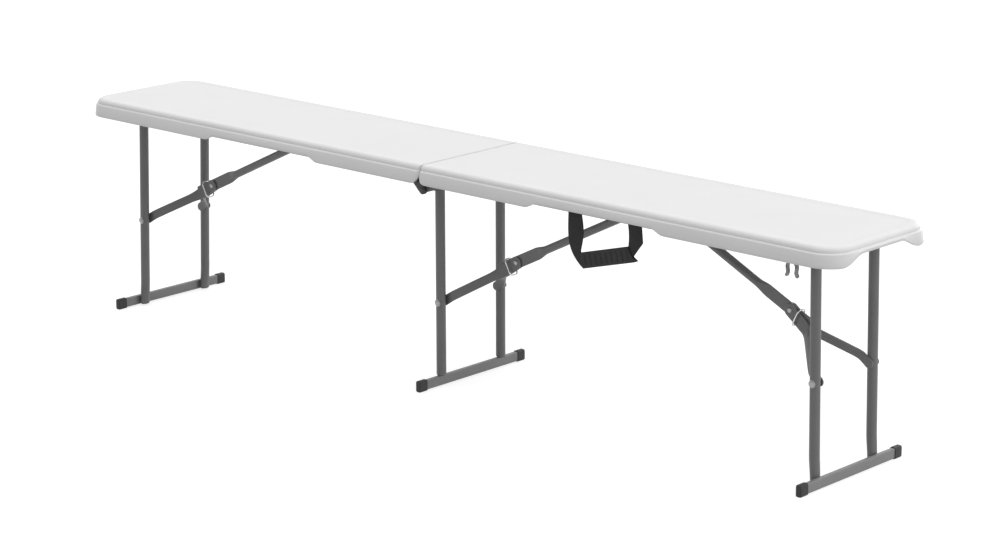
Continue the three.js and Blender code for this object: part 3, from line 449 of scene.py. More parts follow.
def to_mesh(name: str, surfaces: Sequence[Surface], sharp_degrees: float = 32.0) -> bpy.types.Mesh:
    """Puts closed surfaces into one mesh, in metres.

    Args:
        name: The mesh's name.
        surfaces: The surfaces, which may run into each other as welded parts do.
        sharp_degrees: Edges that turn by more than this are drawn sharp.

    Returns:
        The mesh.
    """
    sizes = [surface.points[..., 0].size for surface in surfaces]
    starts = np.cumsum([0, *sizes])
    points = np.concatenate([surface.points.reshape(-1, 3) for surface in surfaces])
    faces = [face for surface, first in zip(surfaces, starts) for face in surface.faces(int(first))]
    mesh = bpy.data.meshes.new(name)
    mesh.from_pydata((points * MM).tolist(), [], faces)
    mesh.polygons.foreach_set("use_smooth", np.ones(len(mesh.polygons), bool))
    mesh.set_sharp_from_angle(angle=math.radians(sharp_degrees))
    return mesh


def ring_angles(sides: int) -> Array:
    """Angles of a ring's points, from 0 and evenly round."""
    return np.linspace(0.0, 2.0 * math.pi, sides, endpoint=False)


def quarter_turn(points: int) -> Array:
    """Angles from 0 to a right angle, evenly spaced."""
    return np.linspace(0.0, math.pi / 2.0, points)


def squared(wave: Array, power: float | Array) -> Array:
    """Squares off a sine or cosine: its sign, times its size to a power below 1."""
    return np.sign(wave) * np.abs(wave) ** power


def mirrored(half: Sequence[Pair]) -> list[Pair]:
    """A profile of radius and y whose first half is the given one, turned about y = 0."""
    return [(radius, -y) for radius, y in half[::-1]] + list(half)


def pin_profile(radius: float, half: float, edge: float) -> list[Pair]:
    """Profile of a plain pin with chamfered ends."""
    return mirrored([(radius, half - edge), (radius - edge, half)])


def dome(radius: float, height: float, base: float, sweep: float = 1.4, rows: int = 9) -> list[Pair]:
    """Profile of a low dome: a quarter ellipse of radius and y.

    Args:
        radius: Its radius at the base.
        height: Its height.
        base: The base's y.
        sweep: How far round the quarter it goes, in radians.
        rows: Points on it.

    Returns:
        Pairs of radius and y, from the base up.
    """
    swing = np.linspace(0.0, sweep, rows)
    return list(zip(radius * np.cos(swing), base + height * np.sin(swing)))


def rounded_rectangle(width: Number, height: Number, radius: Number, steps: int = 6) -> Array:
    """Points of a rounded rectangle round the origin: four quarter circles joined by straights.

    Args:
        width: Size across, or one size for each row of a surface.
        height: Size up, likewise.
        radius: Corner radius, likewise.
        steps: Points in each corner, less one.

    Returns:
        Points, anticlockwise, with two numbers each, for each row if sizes are given by row.
    """
    width, height, radius = (np.asarray(size, float)[..., None] for size in (width, height, radius))
    quarter = quarter_turn(steps + 1)
    angles = np.concatenate([quarter + k * math.pi / 2.0 for k in range(4)])
    signs = np.repeat([[1, 1], [-1, 1], [-1, -1], [1, -1]], steps + 1, axis=0)
    x = signs[:, 0] * (width / 2.0 - radius) + radius * np.cos(angles)
    y = signs[:, 1] * (height / 2.0 - radius) + radius * np.sin(angles)
    return np.stack([x, y], -1)


def soft_corners(corners: Sequence[Pair], cuts: Sequence[float] | float, steps: int = 5) -> Array:
    """A closed outline whose corners are rounded.

    A corner P becomes the curve (1-t)^2 A + 2t(1-t) P + t^2 B, where A and B lie on its two sides, as
    far from P as its cut says.

    Args:
        corners: The corners in order.
        cuts: How far from a corner its curve starts, for all or for each.
        steps: Points on a corner's curve, less one.

    Returns:
        Points as rows of two numbers.
    """
    sharp = np.array(corners, float)
    cut = np.broadcast_to(np.asarray(cuts, float), len(sharp))[:, None]
    back = np.roll(sharp, 1, axis=0) - sharp
    ahead = np.roll(sharp, -1, axis=0) - sharp
    start = (sharp + back * cut / np.linalg.norm(back, axis=1, keepdims=True))[:, None]
    end = (sharp + ahead * cut / np.linalg.norm(ahead, axis=1, keepdims=True))[:, None]
    t = np.linspace(0.0, 1.0, steps + 1)[None, :, None]
    curve = (1.0 - t) ** 2 * start + 2.0 * t * (1.0 - t) * sharp[:, None] + t**2 * end
    return curve.reshape(-1, 2)


def slab(
    outline: Array, low: float, high: float, edge: float = 0.4, axis: int = 1, stations: int = 0
) -> Surface:
    """Carries a closed outline straight along an axis, with soft edges at both ends.

    Near an end each point is drawn in by up to the edge's size, square to the line between its
    neighbours, along a quarter circle.

    Args:
        outline: Points as rows of two numbers: X and Z for a slab along Y, Y and Z for one along X.
        low: Where it starts.
        high: Where it ends.
        edge: Radius of the soft edges.
        axis: 1 for a slab along Y, 0 for one along X.
        stations: Further rows between the soft ends, for a slab that is shaped afterwards.

    Returns:
        The surface.
    """
    along = np.roll(outline, -1, axis=0) - np.roll(outline, 1, axis=0)
    along /= np.linalg.norm(along, axis=1, keepdims=True)
    after = np.roll(outline, -1, axis=0)
    turn = np.sign(np.sum(outline[:, 0] * after[:, 1] - after[:, 0] * outline[:, 1]))
    inward = turn * np.stack([-along[:, 1], along[:, 0]], -1)
    swing = quarter_turn(4)
    inset = edge * (1.0 - np.sin(swing))
    place = edge * (1.0 - np.cos(swing))
    between = np.linspace(low + edge, high - edge, stations + 2)[1:-1]
    insets = np.concatenate([inset, np.zeros(stations), inset[::-1]])[:, None, None]
    places = np.concatenate([low + place, between, (high - place)[::-1]])[:, None]
    flat = outline[None] + insets * inward[None]
    columns = [flat[..., 0], flat[..., 1]]
    columns.insert(axis, np.broadcast_to(places, flat.shape[:2]))
    return Surface(np.stack(columns, -1))


def lathe_along_y(
    profile: Sequence[Pair], centre: Sequence[float], ends: Ends = Ends.CAPPED, sides: int = 40
) -> Surface:
    """Turns a profile round a line along Y: x = cx + r cos a, z = cz + r sin a.

    Args:
        profile: Pairs of radius and y, from one end to the other.
        centre: X and Z of the axis.
        ends: LOOP for a profile that closes on itself, as a tube's does.
        sides: Points round.

    Returns:
        The surface.
    """
    radius, y = np.array(profile, float).T[:, :, None]
    angle = ring_angles(sides)[None, :]
    x = centre[0] + radius * np.cos(angle)
    z = centre[1] + radius * np.sin(angle)
    return Surface(np.stack([x, np.broadcast_to(y, x.shape), z], -1), ends)


def sweep_in_plane(path: Array, section: Array, across: Array, closed: bool = False) -> Surface:
    """Carries a section along a path that lies in one plane.

    A section's first number is laid off along the path's normal in that plane, its second along the
    plane's own normal.

    Args:
        path: Points in space, as rows of three numbers.
        section: Points as rows of two numbers, or one such list for each point of the path.
        across: The unit normal of the path's plane.
        closed: Whether the path is a loop.

    Returns:
        The surface.
    """
    if closed:
        tangent = np.roll(path, -1, axis=0) - np.roll(path, 1, axis=0)
    else:
        tangent = np.gradient(path, axis=0)
    tangent /= np.linalg.norm(tangent, axis=1, keepdims=True)
    normal = np.cross(across, tangent)
    section = np.broadcast_to(section, (len(path), *section.shape[-2:]))
    points = path[:, None] + section[..., :1] * normal[:, None] + section[..., 1:] * across
    return Surface(points, Ends.LOOP if closed else Ends.CAPPED)


@dataclass
class Workshop:
    """Turns surfaces into pieces of the bench and keeps count of them."""

    wardrobe: Wardrobe = field(default_factory=Wardrobe)
    count: int = 0

    def add(self, name: str, shape: Surface | Sequence[Surface], slot: Slot, body: str, *nodes: str) -> None:
        """Makes a piece from its surfaces, dresses it and hangs it on its body.

        Args:
            name: The piece's name.
            shape: Its surface, or its surfaces.
            slot: Its finish.
            body: The body it rides on.
            *nodes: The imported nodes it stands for.
        """
        surfaces = [shape] if isinstance(shape, Surface) else shape
        piece = put(name, to_mesh(name, surfaces))
        piece.data.materials.append(self.wardrobe.get(slot))
        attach(piece, body)
        if nodes:
            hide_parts(*nodes)
        self.count += 1
        LOG.info("%s rides on %s", name, body)


@dataclass
class SeatHalf:
    """One half of the seat: a panel with a skirt, a ledge line, a rounded edge and a rim.

    The fillet and the rim's edge are pairs of an inset and a drop, the lip of an inset and a height.
    """

    side: str
    sign: float
    half_length: float = 915.0
    width: float = 280.0
    top: float = 420.0
    panel: float = 15.0
    skirt_drop: float = 33.5
    shallow_drop: float = 24.7
    arch_drop: float = 16.0
    end_radius: float = 52.0
    fold_radius: float = 9.0
    fold_gap: float = 1.6
    fold_taper: float = 0.05
    flare: float = 3.6
    inner_inset: float = 9.0
    ledge_depth: float = 10.3
    ledge_width: float = 2.3
    edge_round: float = 9.0
    rim_width: float = 10.0
    rim_slope: float = 1.6
    dish: float = 0.5
    wave_inner: float = 269.0
    wave_outer: float = 550.0
    wave_length: float = 26.0
    arch_half: float = 78.5
    arch_flank: float = 53.0
    arch_shift: float = -10.5
    fold_arch_half: float = 122.0
    fold_arch_flank: float = 8.0
    fold_sharpening: float = 0.5
    least_radius: float = 2.0
    middle_share: float = 0.004
    skirt_turn: float = 5.0
    skirt_shares: tuple[float, ...] = (0.72, 0.9, 1.0)
    face_start: float = 4.0
    fillet: tuple[Pair, ...] = ((2.0, 0.0), (0.5, 0.4), (0.0, 1.6))
    rim_edge: tuple[Pair, ...] = ((-0.6, 0.0), (0.2, 0.12))
    lip: tuple[Pair, ...] = (
        (4.9, 2.2),
        (4.4, 0.7),
        (3.6, 0.0),
        (1.2, 0.0),
        (0.35, 0.3),
        (0.0, 1.1),
        (0.45, 4.6),
    )

    @property
    def fold_edge_radius(self) -> float:
        """Radius of the skirt's corner at the fold."""
        return self.skirt_drop - self.arch_drop

    def plan(self, inset: float) -> Array:
        """Plan outline drawn in by inset. Points run from the middle of the fold face along the front.

        The rear half is the front half mirrored in y, in reverse order.

        Args:
            inset: Distance inside the outermost outline.

        Returns:
            Points as rows of x and y.
        """
        fold_x = self.fold_gap / 2.0 + self.fold_taper * inset
        fold_r = max(self.fold_radius - self.fold_sharpening * inset, self.least_radius)
        side_y = self.width / 2.0 - inset
        end_r = self.end_radius - inset
        corner_x = self.half_length - self.end_radius
        corner_y = self.width / 2.0 - self.end_radius
        fold_y = side_y - fold_r
        face = np.linspace(self.middle_share, 1.0, 60)[:-1] * fold_y
        turn = np.linspace(math.pi, 1.5 * math.pi, 17)
        near_fold = np.linspace(0.0, self.fold_edge_radius / corner_x, 16)[1:-1]
        stations = np.concatenate([near_fold, np.linspace(self.fold_edge_radius / corner_x, 1.0, 150)[:-1]])
        swing = np.linspace(1.5 * math.pi, 2.0 * math.pi, 27)
        flank = np.linspace(1.0, self.middle_share, 48)[1:] * corner_y
        start = fold_x + fold_r
        x = np.concatenate([
            np.full(face.shape, fold_x),
            start + fold_r * np.cos(turn),
            start + (corner_x - start) * stations,
            corner_x + end_r * np.cos(swing),
            np.full(flank.shape, self.half_length - inset),
        ])
        y = np.concatenate([
            -face,
            -fold_y + fold_r * np.sin(turn),
            np.full(stations.shape, -side_y),
            -corner_y + end_r * np.sin(swing),
            -flank,
        ])
        front = np.stack([x, y], -1)
        return np.concatenate([front, front[::-1] * [1.0, -1.0]])

    def skirt_edge(self, plan: Array) -> Array:
        """Height of the skirt's lower edge: deep, with shallow, arched and rising stretches.

        A shallow or arched stretch is a smooth step up from the deep edge, the corner at the fold is a
        quarter circle, and the highest of them counts.

        Args:
            plan: Points as rows of x and y.

        Returns:
            A height for each point.
        """
        x, y = plan[:, 0], np.abs(plan[:, 1])
        inner = smooth_step((x - self.wave_inner) / self.wave_length + 0.5)
        outer = smooth_step((self.wave_outer - x) / self.wave_length + 0.5)
        shallow = np.minimum(inner, outer) * (self.skirt_drop - self.shallow_drop)
        from_arch = np.abs(plan[:, 1] - self.arch_shift)
        end_arch = smooth_step((self.arch_half - from_arch) / self.arch_flank + 0.5)
        end_arch = end_arch * (x > self.half_length - self.end_radius)
        fold_arch = smooth_step((self.fold_arch_half - y) / self.fold_arch_flank + 0.5)
        fold_arch = fold_arch * (x < self.fold_gap + self.fold_radius)
        arch = np.maximum(end_arch, fold_arch) * (self.skirt_drop - self.arch_drop)
        from_round = 1.0 - np.clip((x - self.fold_gap / 2.0) / self.fold_edge_radius, 0.0, 1.0)
        rise = self.fold_edge_radius * (1.0 - np.sqrt(1.0 - from_round**2))
        return self.top - self.skirt_drop + np.maximum.reduce([shallow, arch, rise])

    def ring(self, inset: float, height: float, blend: float = 0.0) -> Array:
        """One level of the half.

        Args:
            inset: Distance inside the outermost outline.
            height: Height above the floor, or above the skirt's edge as far as blend is 1.
            blend: 0 for a level ring, 1 for one that follows the skirt's edge.

        Returns:
            Points as rows of three numbers.
        """
        plan = self.plan(inset)
        z = (1.0 - blend) * height + blend * (self.skirt_edge(plan) + height)
        return np.concatenate([plan * [self.sign, 1.0], z[:, None]], axis=1)

    def surface(self) -> Surface:
        """The whole half: a loft of closed rings.

        It runs from the underside down the inner wall, round the lip, up the skirt, over the sloping
        ledge and the rounded edge, and across the rim to the seat face.

        Returns:
            The surface.
        """
        under = self.top - self.panel
        ledge = self.top - self.ledge_depth
        ledge_inset = self.flare + self.ledge_width
        rows = [self.ring(self.inner_inset + inset, under - drop) for inset, drop in self.fillet]
        rows += [self.ring(inset, height, 1.0) for inset, height in self.lip]
        for share in self.skirt_shares:
            rows.append(self.ring(self.flare * share, ledge - self.skirt_turn * (1.0 - share)))
        base = self.top - self.edge_round
        for angle in quarter_turn(14):
            inset = ledge_inset + self.edge_round * (1.0 - math.cos(angle))
            rows.append(self.ring(inset, base + self.edge_round * math.sin(angle)))
        rim = ledge_inset + self.edge_round + self.rim_width
        rows += [self.ring(rim + inset, self.top - drop) for inset, drop in self.rim_edge]
        face = self.top - self.dish
        rows += [self.ring(rim + self.rim_slope, face), self.ring(rim + self.face_start, face)]
        return Surface(np.stack(rows), Ends.SPANNED)

    def build(self, shop: Workshop) -> None:
        """Makes the half."""
        side = self.side
        shop.add(f"{side}_seat", self.surface(), Slot.SEAT, f"{side}_half", f"{side}_seat_panel")


@dataclass
class Underframe:
    """The metal under one half: two angle rails, two hinge leaves and the rod that carries the leg."""

    side: str
    sign: float
    pivot: float
    layer: int
    rail_face: float = 121.0
    rail_top: float = PANEL_Z
    rail_height: float = 18.7
    rail_flange: float = 20.0
    rail_thickness: float = 2.0
    rail_start: float = 14.0
    rail_past_pivot: float = 22.0
    rail_bend: float = 3.2
    rail_lift: float = 2.8
    rail_rows: int = 160
    lift_from: float = 248.0
    lift_to: float = 571.0
    lift_length: float = 26.0
    leaf_thickness: float = 2.6
    leaf_length: float = 76.0
    leaf_reach: float = 24.0
    leaf_corner: float = 4.0
    leaf_edge: float = 0.7
    knuckle_radius: float = 8.0
    hinge_z: float = HINGE_Z
    joggle_start: float = 26.0
    joggle_length: float = 8.0
    pivot_z: float = END_PIVOT_Z
    rod_radius: float = 4.0
    rod_half: float = 124.0
    rod_edge: float = 0.5
    run: float = RUN

    @property
    def rail_bottom(self) -> float:
        """Height of a rail's lower edge."""
        return self.rail_top - self.rail_height

    def rail(self, end: float) -> Surface:
        """An angle: an L-shaped outline with a round bend, carried along X.

        Its lower edge rises a little, along smooth steps, behind the shallow stretch of the skirt.

        Args:
            end: -1 for the front rail, 1 for the rear one.

        Returns:
            The surface.
        """
        face, top, wall = self.rail_face, self.rail_top, self.rail_thickness
        inner = face - self.rail_flange
        corners = [
            (face, self.rail_bottom),
            (face, top),
            (inner, top),
            (inner, top - wall),
            (face - wall, top - wall),
            (face - wall, self.rail_bottom),
        ]
        cut = wall / 4.0
        outline = soft_corners(corners, [cut, self.rail_bend, cut, cut, self.rail_bend - wall, cut])
        ends = sorted((self.sign * self.rail_start, self.sign * (self.pivot + self.rail_past_pivot)))
        surface = slab(outline * [end, 1.0], ends[0], ends[1], cut, axis=0, stations=self.rail_rows)
        along, height = np.abs(surface.points[..., 0]), surface.points[..., 2]
        rise = smooth_step((along - self.lift_from) / self.lift_length + 0.5)
        rise = np.minimum(rise, smooth_step((self.lift_to - along) / self.lift_length + 0.5))
        surface.points[..., 2] += self.rail_lift * rise * (height < self.rail_bottom + wall)
        return surface

    def leaf_outline(self, x: Array, corner_z: float, way: float) -> Array:
        """Height of a leaf's upper or lower edge.

        It follows the circle round the pin, then the circle's tangent up to a corner on the rail, and
        then the rail.

        Args:
            x: Places along the leaf, from the pin.
            corner_z: Height of the corner, from the pin.
            way: 1 for the upper edge, -1 for the lower one.

        Returns:
            Heights above the floor.
        """
        reach, radius = self.leaf_reach, self.knuckle_radius
        angle = math.atan2(corner_z, reach) + way * math.acos(radius / math.hypot(reach, corner_z))
        touch_x, touch_z = radius * math.cos(angle), radius * math.sin(angle)
        circle = way * np.sqrt(np.maximum(radius**2 - x**2, 0.0))
        tangent = touch_z + (x - touch_x) * (corner_z - touch_z) / (reach - touch_x)
        return self.hinge_z + np.where(x < touch_x, circle, np.where(x < reach, tangent, corner_z))

    def leaf(self, end: float) -> Surface:
        """A hinge leaf: upright rounded rectangles at places along X, from a nose round the pin.

        The leaf of the outer layer comes in to the rail along a smooth step past the other's nose.

        Args:
            end: -1 for the front leaf, 1 for the rear one.

        Returns:
            The surface.
        """
        swing = quarter_turn(12)
        corner = self.leaf_corner
        nose = -self.knuckle_radius * np.cos(swing)
        middle = np.linspace(0.0, self.leaf_length - corner, 60)[1:-1]
        tail = self.leaf_length - corner + corner * np.sin(swing)
        x = np.concatenate([nose, middle, tail])
        past = np.clip(x - (self.leaf_length - corner), 0.0, corner)
        inset = corner - np.sqrt(corner**2 - past**2)
        high = self.leaf_outline(x, self.rail_top - self.rail_thickness - self.hinge_z, 1.0) - inset
        low = self.leaf_outline(x, self.rail_bottom - self.hinge_z, -1.0) + inset
        height = np.maximum(high - low, 2.0 * self.leaf_edge)
        step = 1.0 - smooth_step((x - self.joggle_start) / self.joggle_length)
        out = self.rail_face + self.run + self.layer * (self.leaf_thickness + self.run) * step
        section = rounded_rectangle(np.full(x.shape, self.leaf_thickness), height, self.leaf_edge, 3)
        y = out[:, None] + self.leaf_thickness / 2.0 + section[..., 0]
        z = ((high + low) / 2.0)[:, None] + section[..., 1]
        return Surface(np.stack([np.broadcast_to(self.sign * x[:, None], y.shape), end * y, z], -1))

    def rod(self) -> Surface:
        """The rod that the leg turns on, with chamfered ends."""
        profile = pin_profile(self.rod_radius, self.rod_half, self.rod_edge)
        return lathe_along_y(profile, (self.sign * self.pivot, self.pivot_z))

    def build(self, shop: Workshop) -> None:
        """Makes the rails, the leaves and the rod."""
        body = f"{self.side}_half"
        for end, way in (("front", -1.0), ("rear", 1.0)):
            name = f"{self.side}_{end}"
            shop.add(f"{name}_angle", self.rail(way), Slot.FRAME, body, f"{name}_rail")
            shop.add(f"{name}_leaf", self.leaf(way), Slot.PLATE, body, f"{name}_hinge_leaf")
        shop.add(f"{self.side}_leg_rod", self.rod(), Slot.ZINC, body, f"{self.side}_leg_pivot_rod")


@dataclass
class HingePin:
    """The pin through the four hinge leaves and the centre leg, with a low domed head at each end."""

    centre: Pair = (0.0, HINGE_Z)
    radius: float = 4.0
    half: float = 127.1
    head_radius: float = 5.5
    head_height: float = 2.0

    def surface(self) -> Surface:
        """A profile turned round the pin's axis: each head is a quarter ellipse."""
        head = dome(self.head_radius, self.head_height, self.half, rows=8)
        return lathe_along_y(mirrored([(self.radius, self.half), *head]), self.centre)

    def build(self, shop: Workshop, body: str) -> None:
        """Makes the pin."""
        shop.add("fold_pin", self.surface(), Slot.PLATE, body, "hinge_pin")


@dataclass
class LegFrame:
    """A leg frame: two tubes, a cross tube, a flat foot bar, two end caps and two bolts."""

    name: str
    pivot_x: float
    pivot_z: float
    foot_offset: float
    out: float
    tube_diameter: float = 18.0
    tube_spacing: float = 80.0
    tube_flat: float = 14.0
    tube_flat_width: float = 21.0
    bend_height: float = 62.0
    bend_offset: float = 3.0
    bar_width: float = 9.0
    bar_height: float = 18.0
    bar_half: float = 140.0
    bar_round: float = 2.0
    cap_width: float = 11.6
    cap_height: float = 21.0
    cap_grip: float = 18.0
    cap_end: float = 2.5
    cap_edge: float = 2.6
    cap_mouth: float = 0.6
    cap_corner: float = 3.4
    cross_radius: float = 8.0
    cross_bore: float = 4.3
    cross_half: float = 117.0
    cross_edge: float = 0.5
    swage_radius: float = 5.8
    swage_start: float = 90.0
    swage_end: float = 98.0
    saddle_depth: float = 3.0
    foot_clearance: float = 3.0
    flattening: float = 1.4
    foot_trim: float = 0.86
    least_corner: float = 0.6
    bolt_distance: float = 216.5
    bolt_shank: Pair = (3.0, 71.0)
    bolt_seat: float = 0.5
    bolt_radius: float = 5.3
    bolt_step: float = 0.1
    bolt_rim: float = 0.6
    bolt_height: float = 2.4
    bolt_sweep: float = 1.5
    washer_radius: float = 6.8
    washer_edge: float = 0.2
    washer_height: float = 1.0
    run: float = RUN

    @property
    def on_top(self) -> bool:
        """Whether the tubes stand on the foot bar, rather than beside it."""
        return self.foot_offset == 0.0

    @property
    def foot_x(self) -> float:
        """How far out the tube's lower end is."""
        beside = self.foot_offset - self.bar_width / 2.0 - self.run - self.tube_flat / 2.0
        return 0.0 if self.on_top else beside

    @property
    def bend_x(self) -> float:
        """How far out the tube is where its bend starts."""
        return 0.0 if self.on_top else self.foot_x - self.bend_offset

    @property
    def bolt(self) -> Pair:
        """X and Z of the brace's bolt."""
        lean = math.atan(self.bend_x / (self.pivot_z - self.bend_height))
        x = self.pivot_x + self.out * self.bolt_distance * math.sin(lean)
        return x, self.pivot_z - self.bolt_distance * math.cos(lean)

    @property
    def bar_centre(self) -> Pair:
        """X and Z of the middle of the foot bar."""
        return self.pivot_x + self.out * self.foot_offset, self.cap_height / 2.0

    def tube(self, side: float) -> Surface:
        """A leg tube: level rings down its axis, which bends out smoothly below the bend height.

        The ring is a circle, and turns into a flat oval at the foot beside the bar.

        Args:
            side: -1 for the front tube, 1 for the rear one.

        Returns:
            The surface.
        """
        above_bar = self.bar_centre[1] + self.bar_height / 2.0 + self.run
        bottom = above_bar if self.on_top else self.foot_clearance
        straight = np.linspace(self.pivot_z - self.saddle_depth, self.bend_height, 20)[:-1]
        bent = np.linspace(self.bend_height, bottom, 26)
        z = np.concatenate([straight, bent])
        share = (z - bottom) / (self.bend_height - bottom)
        slope = self.bend_x * (self.pivot_z - z) / (self.pivot_z - self.bend_height)
        curve = self.bend_x + (self.foot_x - self.bend_x) * smooth_step(1.0 - share)
        x = np.where(z > self.bend_height, slope, curve)
        flat = smooth_step(1.0 - self.flattening * share) * (0.0 if self.on_top else 1.0)
        half_x = (self.tube_diameter + (self.tube_flat - self.tube_diameter) * flat) / 2.0
        half_y = (self.tube_diameter + (self.tube_flat_width - self.tube_diameter) * flat) / 2.0
        trim = np.ones_like(z)
        trim[-1] = self.foot_trim
        angle = ring_angles(48)[None, :]
        px = self.pivot_x + self.out * x[:, None] + (half_x * trim)[:, None] * np.cos(angle)
        py = side * self.tube_spacing + (half_y * trim)[:, None] * np.sin(angle)
        return Surface(np.stack([px, py, np.broadcast_to(z[:, None], px.shape)], -1))

    def foot_bar(self) -> Surface:
        """The foot bar: a rounded rectangle carried along Y."""
        section = rounded_rectangle(self.bar_width, self.bar_height, self.bar_round)
        y = np.linspace(-self.bar_half, self.bar_half, 15)
        x, z = self.bar_centre
        path = np.stack([np.full(y.shape, x), y, np.full(y.shape, z)], -1)
        return sweep_in_plane(path, section[:, ::-1], np.array([-1.0, 0.0, 0.0]))

    def cap(self, side: float) -> Surface:
        """An end cap: rounded rectangles along Y that draw in over a rounded end and a soft mouth.

        Args:
            side: -1 for the front cap, 1 for the rear one.

        Returns:
            The surface.
        """
        turn = quarter_turn(8)
        edge, mouth = self.cap_edge, self.bar_half - self.cap_grip
        end = self.bar_half + self.cap_end
        y = np.concatenate([[mouth, mouth + self.cap_mouth], end - edge + edge * np.sin(turn)])
        inset = np.concatenate([[self.cap_mouth, 0.0], edge * (1.0 - np.cos(turn))])
        corner = np.maximum(self.cap_corner - inset, self.least_corner)
        ring = rounded_rectangle(self.cap_width - 2.0 * inset, self.cap_height - 2.0 * inset, corner)
        x, z = self.bar_centre
        level = np.broadcast_to(side * y[:, None], ring.shape[:2])
        return Surface(np.stack([x + ring[..., 0], level, z + ring[..., 1]], -1))

    def bolt_head(self, side: float) -> Surface:
        """A washer and a low domed head on the tube: radii turned round the bolt's axis.

        Args:
            side: -1 for the front bolt, 1 for the rear one.

        Returns:
            The surface.
        """
        shank, start = self.bolt_shank
        face = self.tube_spacing + self.tube_diameter / 2.0 - self.bolt_seat
        top = face + self.washer_height
        wide, drawn = self.washer_radius, self.washer_radius - self.washer_edge
        profile = [(shank, start), (shank, face), (drawn, face), (wide, (face + top) / 2.0), (drawn, top)]
        profile.append((self.bolt_radius, top + self.bolt_step))
        profile += dome(self.bolt_radius, self.bolt_height, top + self.bolt_rim, self.bolt_sweep)
        return lathe_along_y([(radius, side * y) for radius, y in profile], self.bolt)

    def cross_tube(self) -> Surface:
        """The tube across the top: a wall's profile with narrowed ends, turned round the pivot."""
        bore, half, edge = self.cross_bore, self.cross_half, self.cross_edge
        narrow = self.swage_radius
        end = [(self.cross_radius, self.swage_start), (narrow, self.swage_end), (narrow, half - edge)]
        end += [(narrow - edge, half), (bore + edge, half), (bore, half - edge)]
        profile = end + [(radius, -y) for radius, y in end[::-1]]
        return lathe_along_y(profile, (self.pivot_x, self.pivot_z), Ends.LOOP)

    def build(self, shop: Workshop) -> None:
        """Makes the frame's pieces."""
        body = f"{self.name}_leg"
        shop.add(f"{body}_bar", self.foot_bar(), Slot.BAR, body, f"{body}_foot_bar")
        for end, side in (("front", -1.0), ("rear", 1.0)):
            shop.add(f"{body}_{end}_post", self.tube(side), Slot.FRAME, body, f"{body}_{end}_tube")
            shop.add(f"{body}_{end}_shoe", self.cap(side), Slot.PLASTIC, body, f"{body}_{end}_cap")
            shop.add(f"{body}_{end}_bolt_head", self.bolt_head(side), Slot.BOLT, body, f"{body}_{end}_bolt")
        shop.add(f"{body}_crossbar", self.cross_tube(), Slot.FRAME, body, f"{body}_cross_tube")


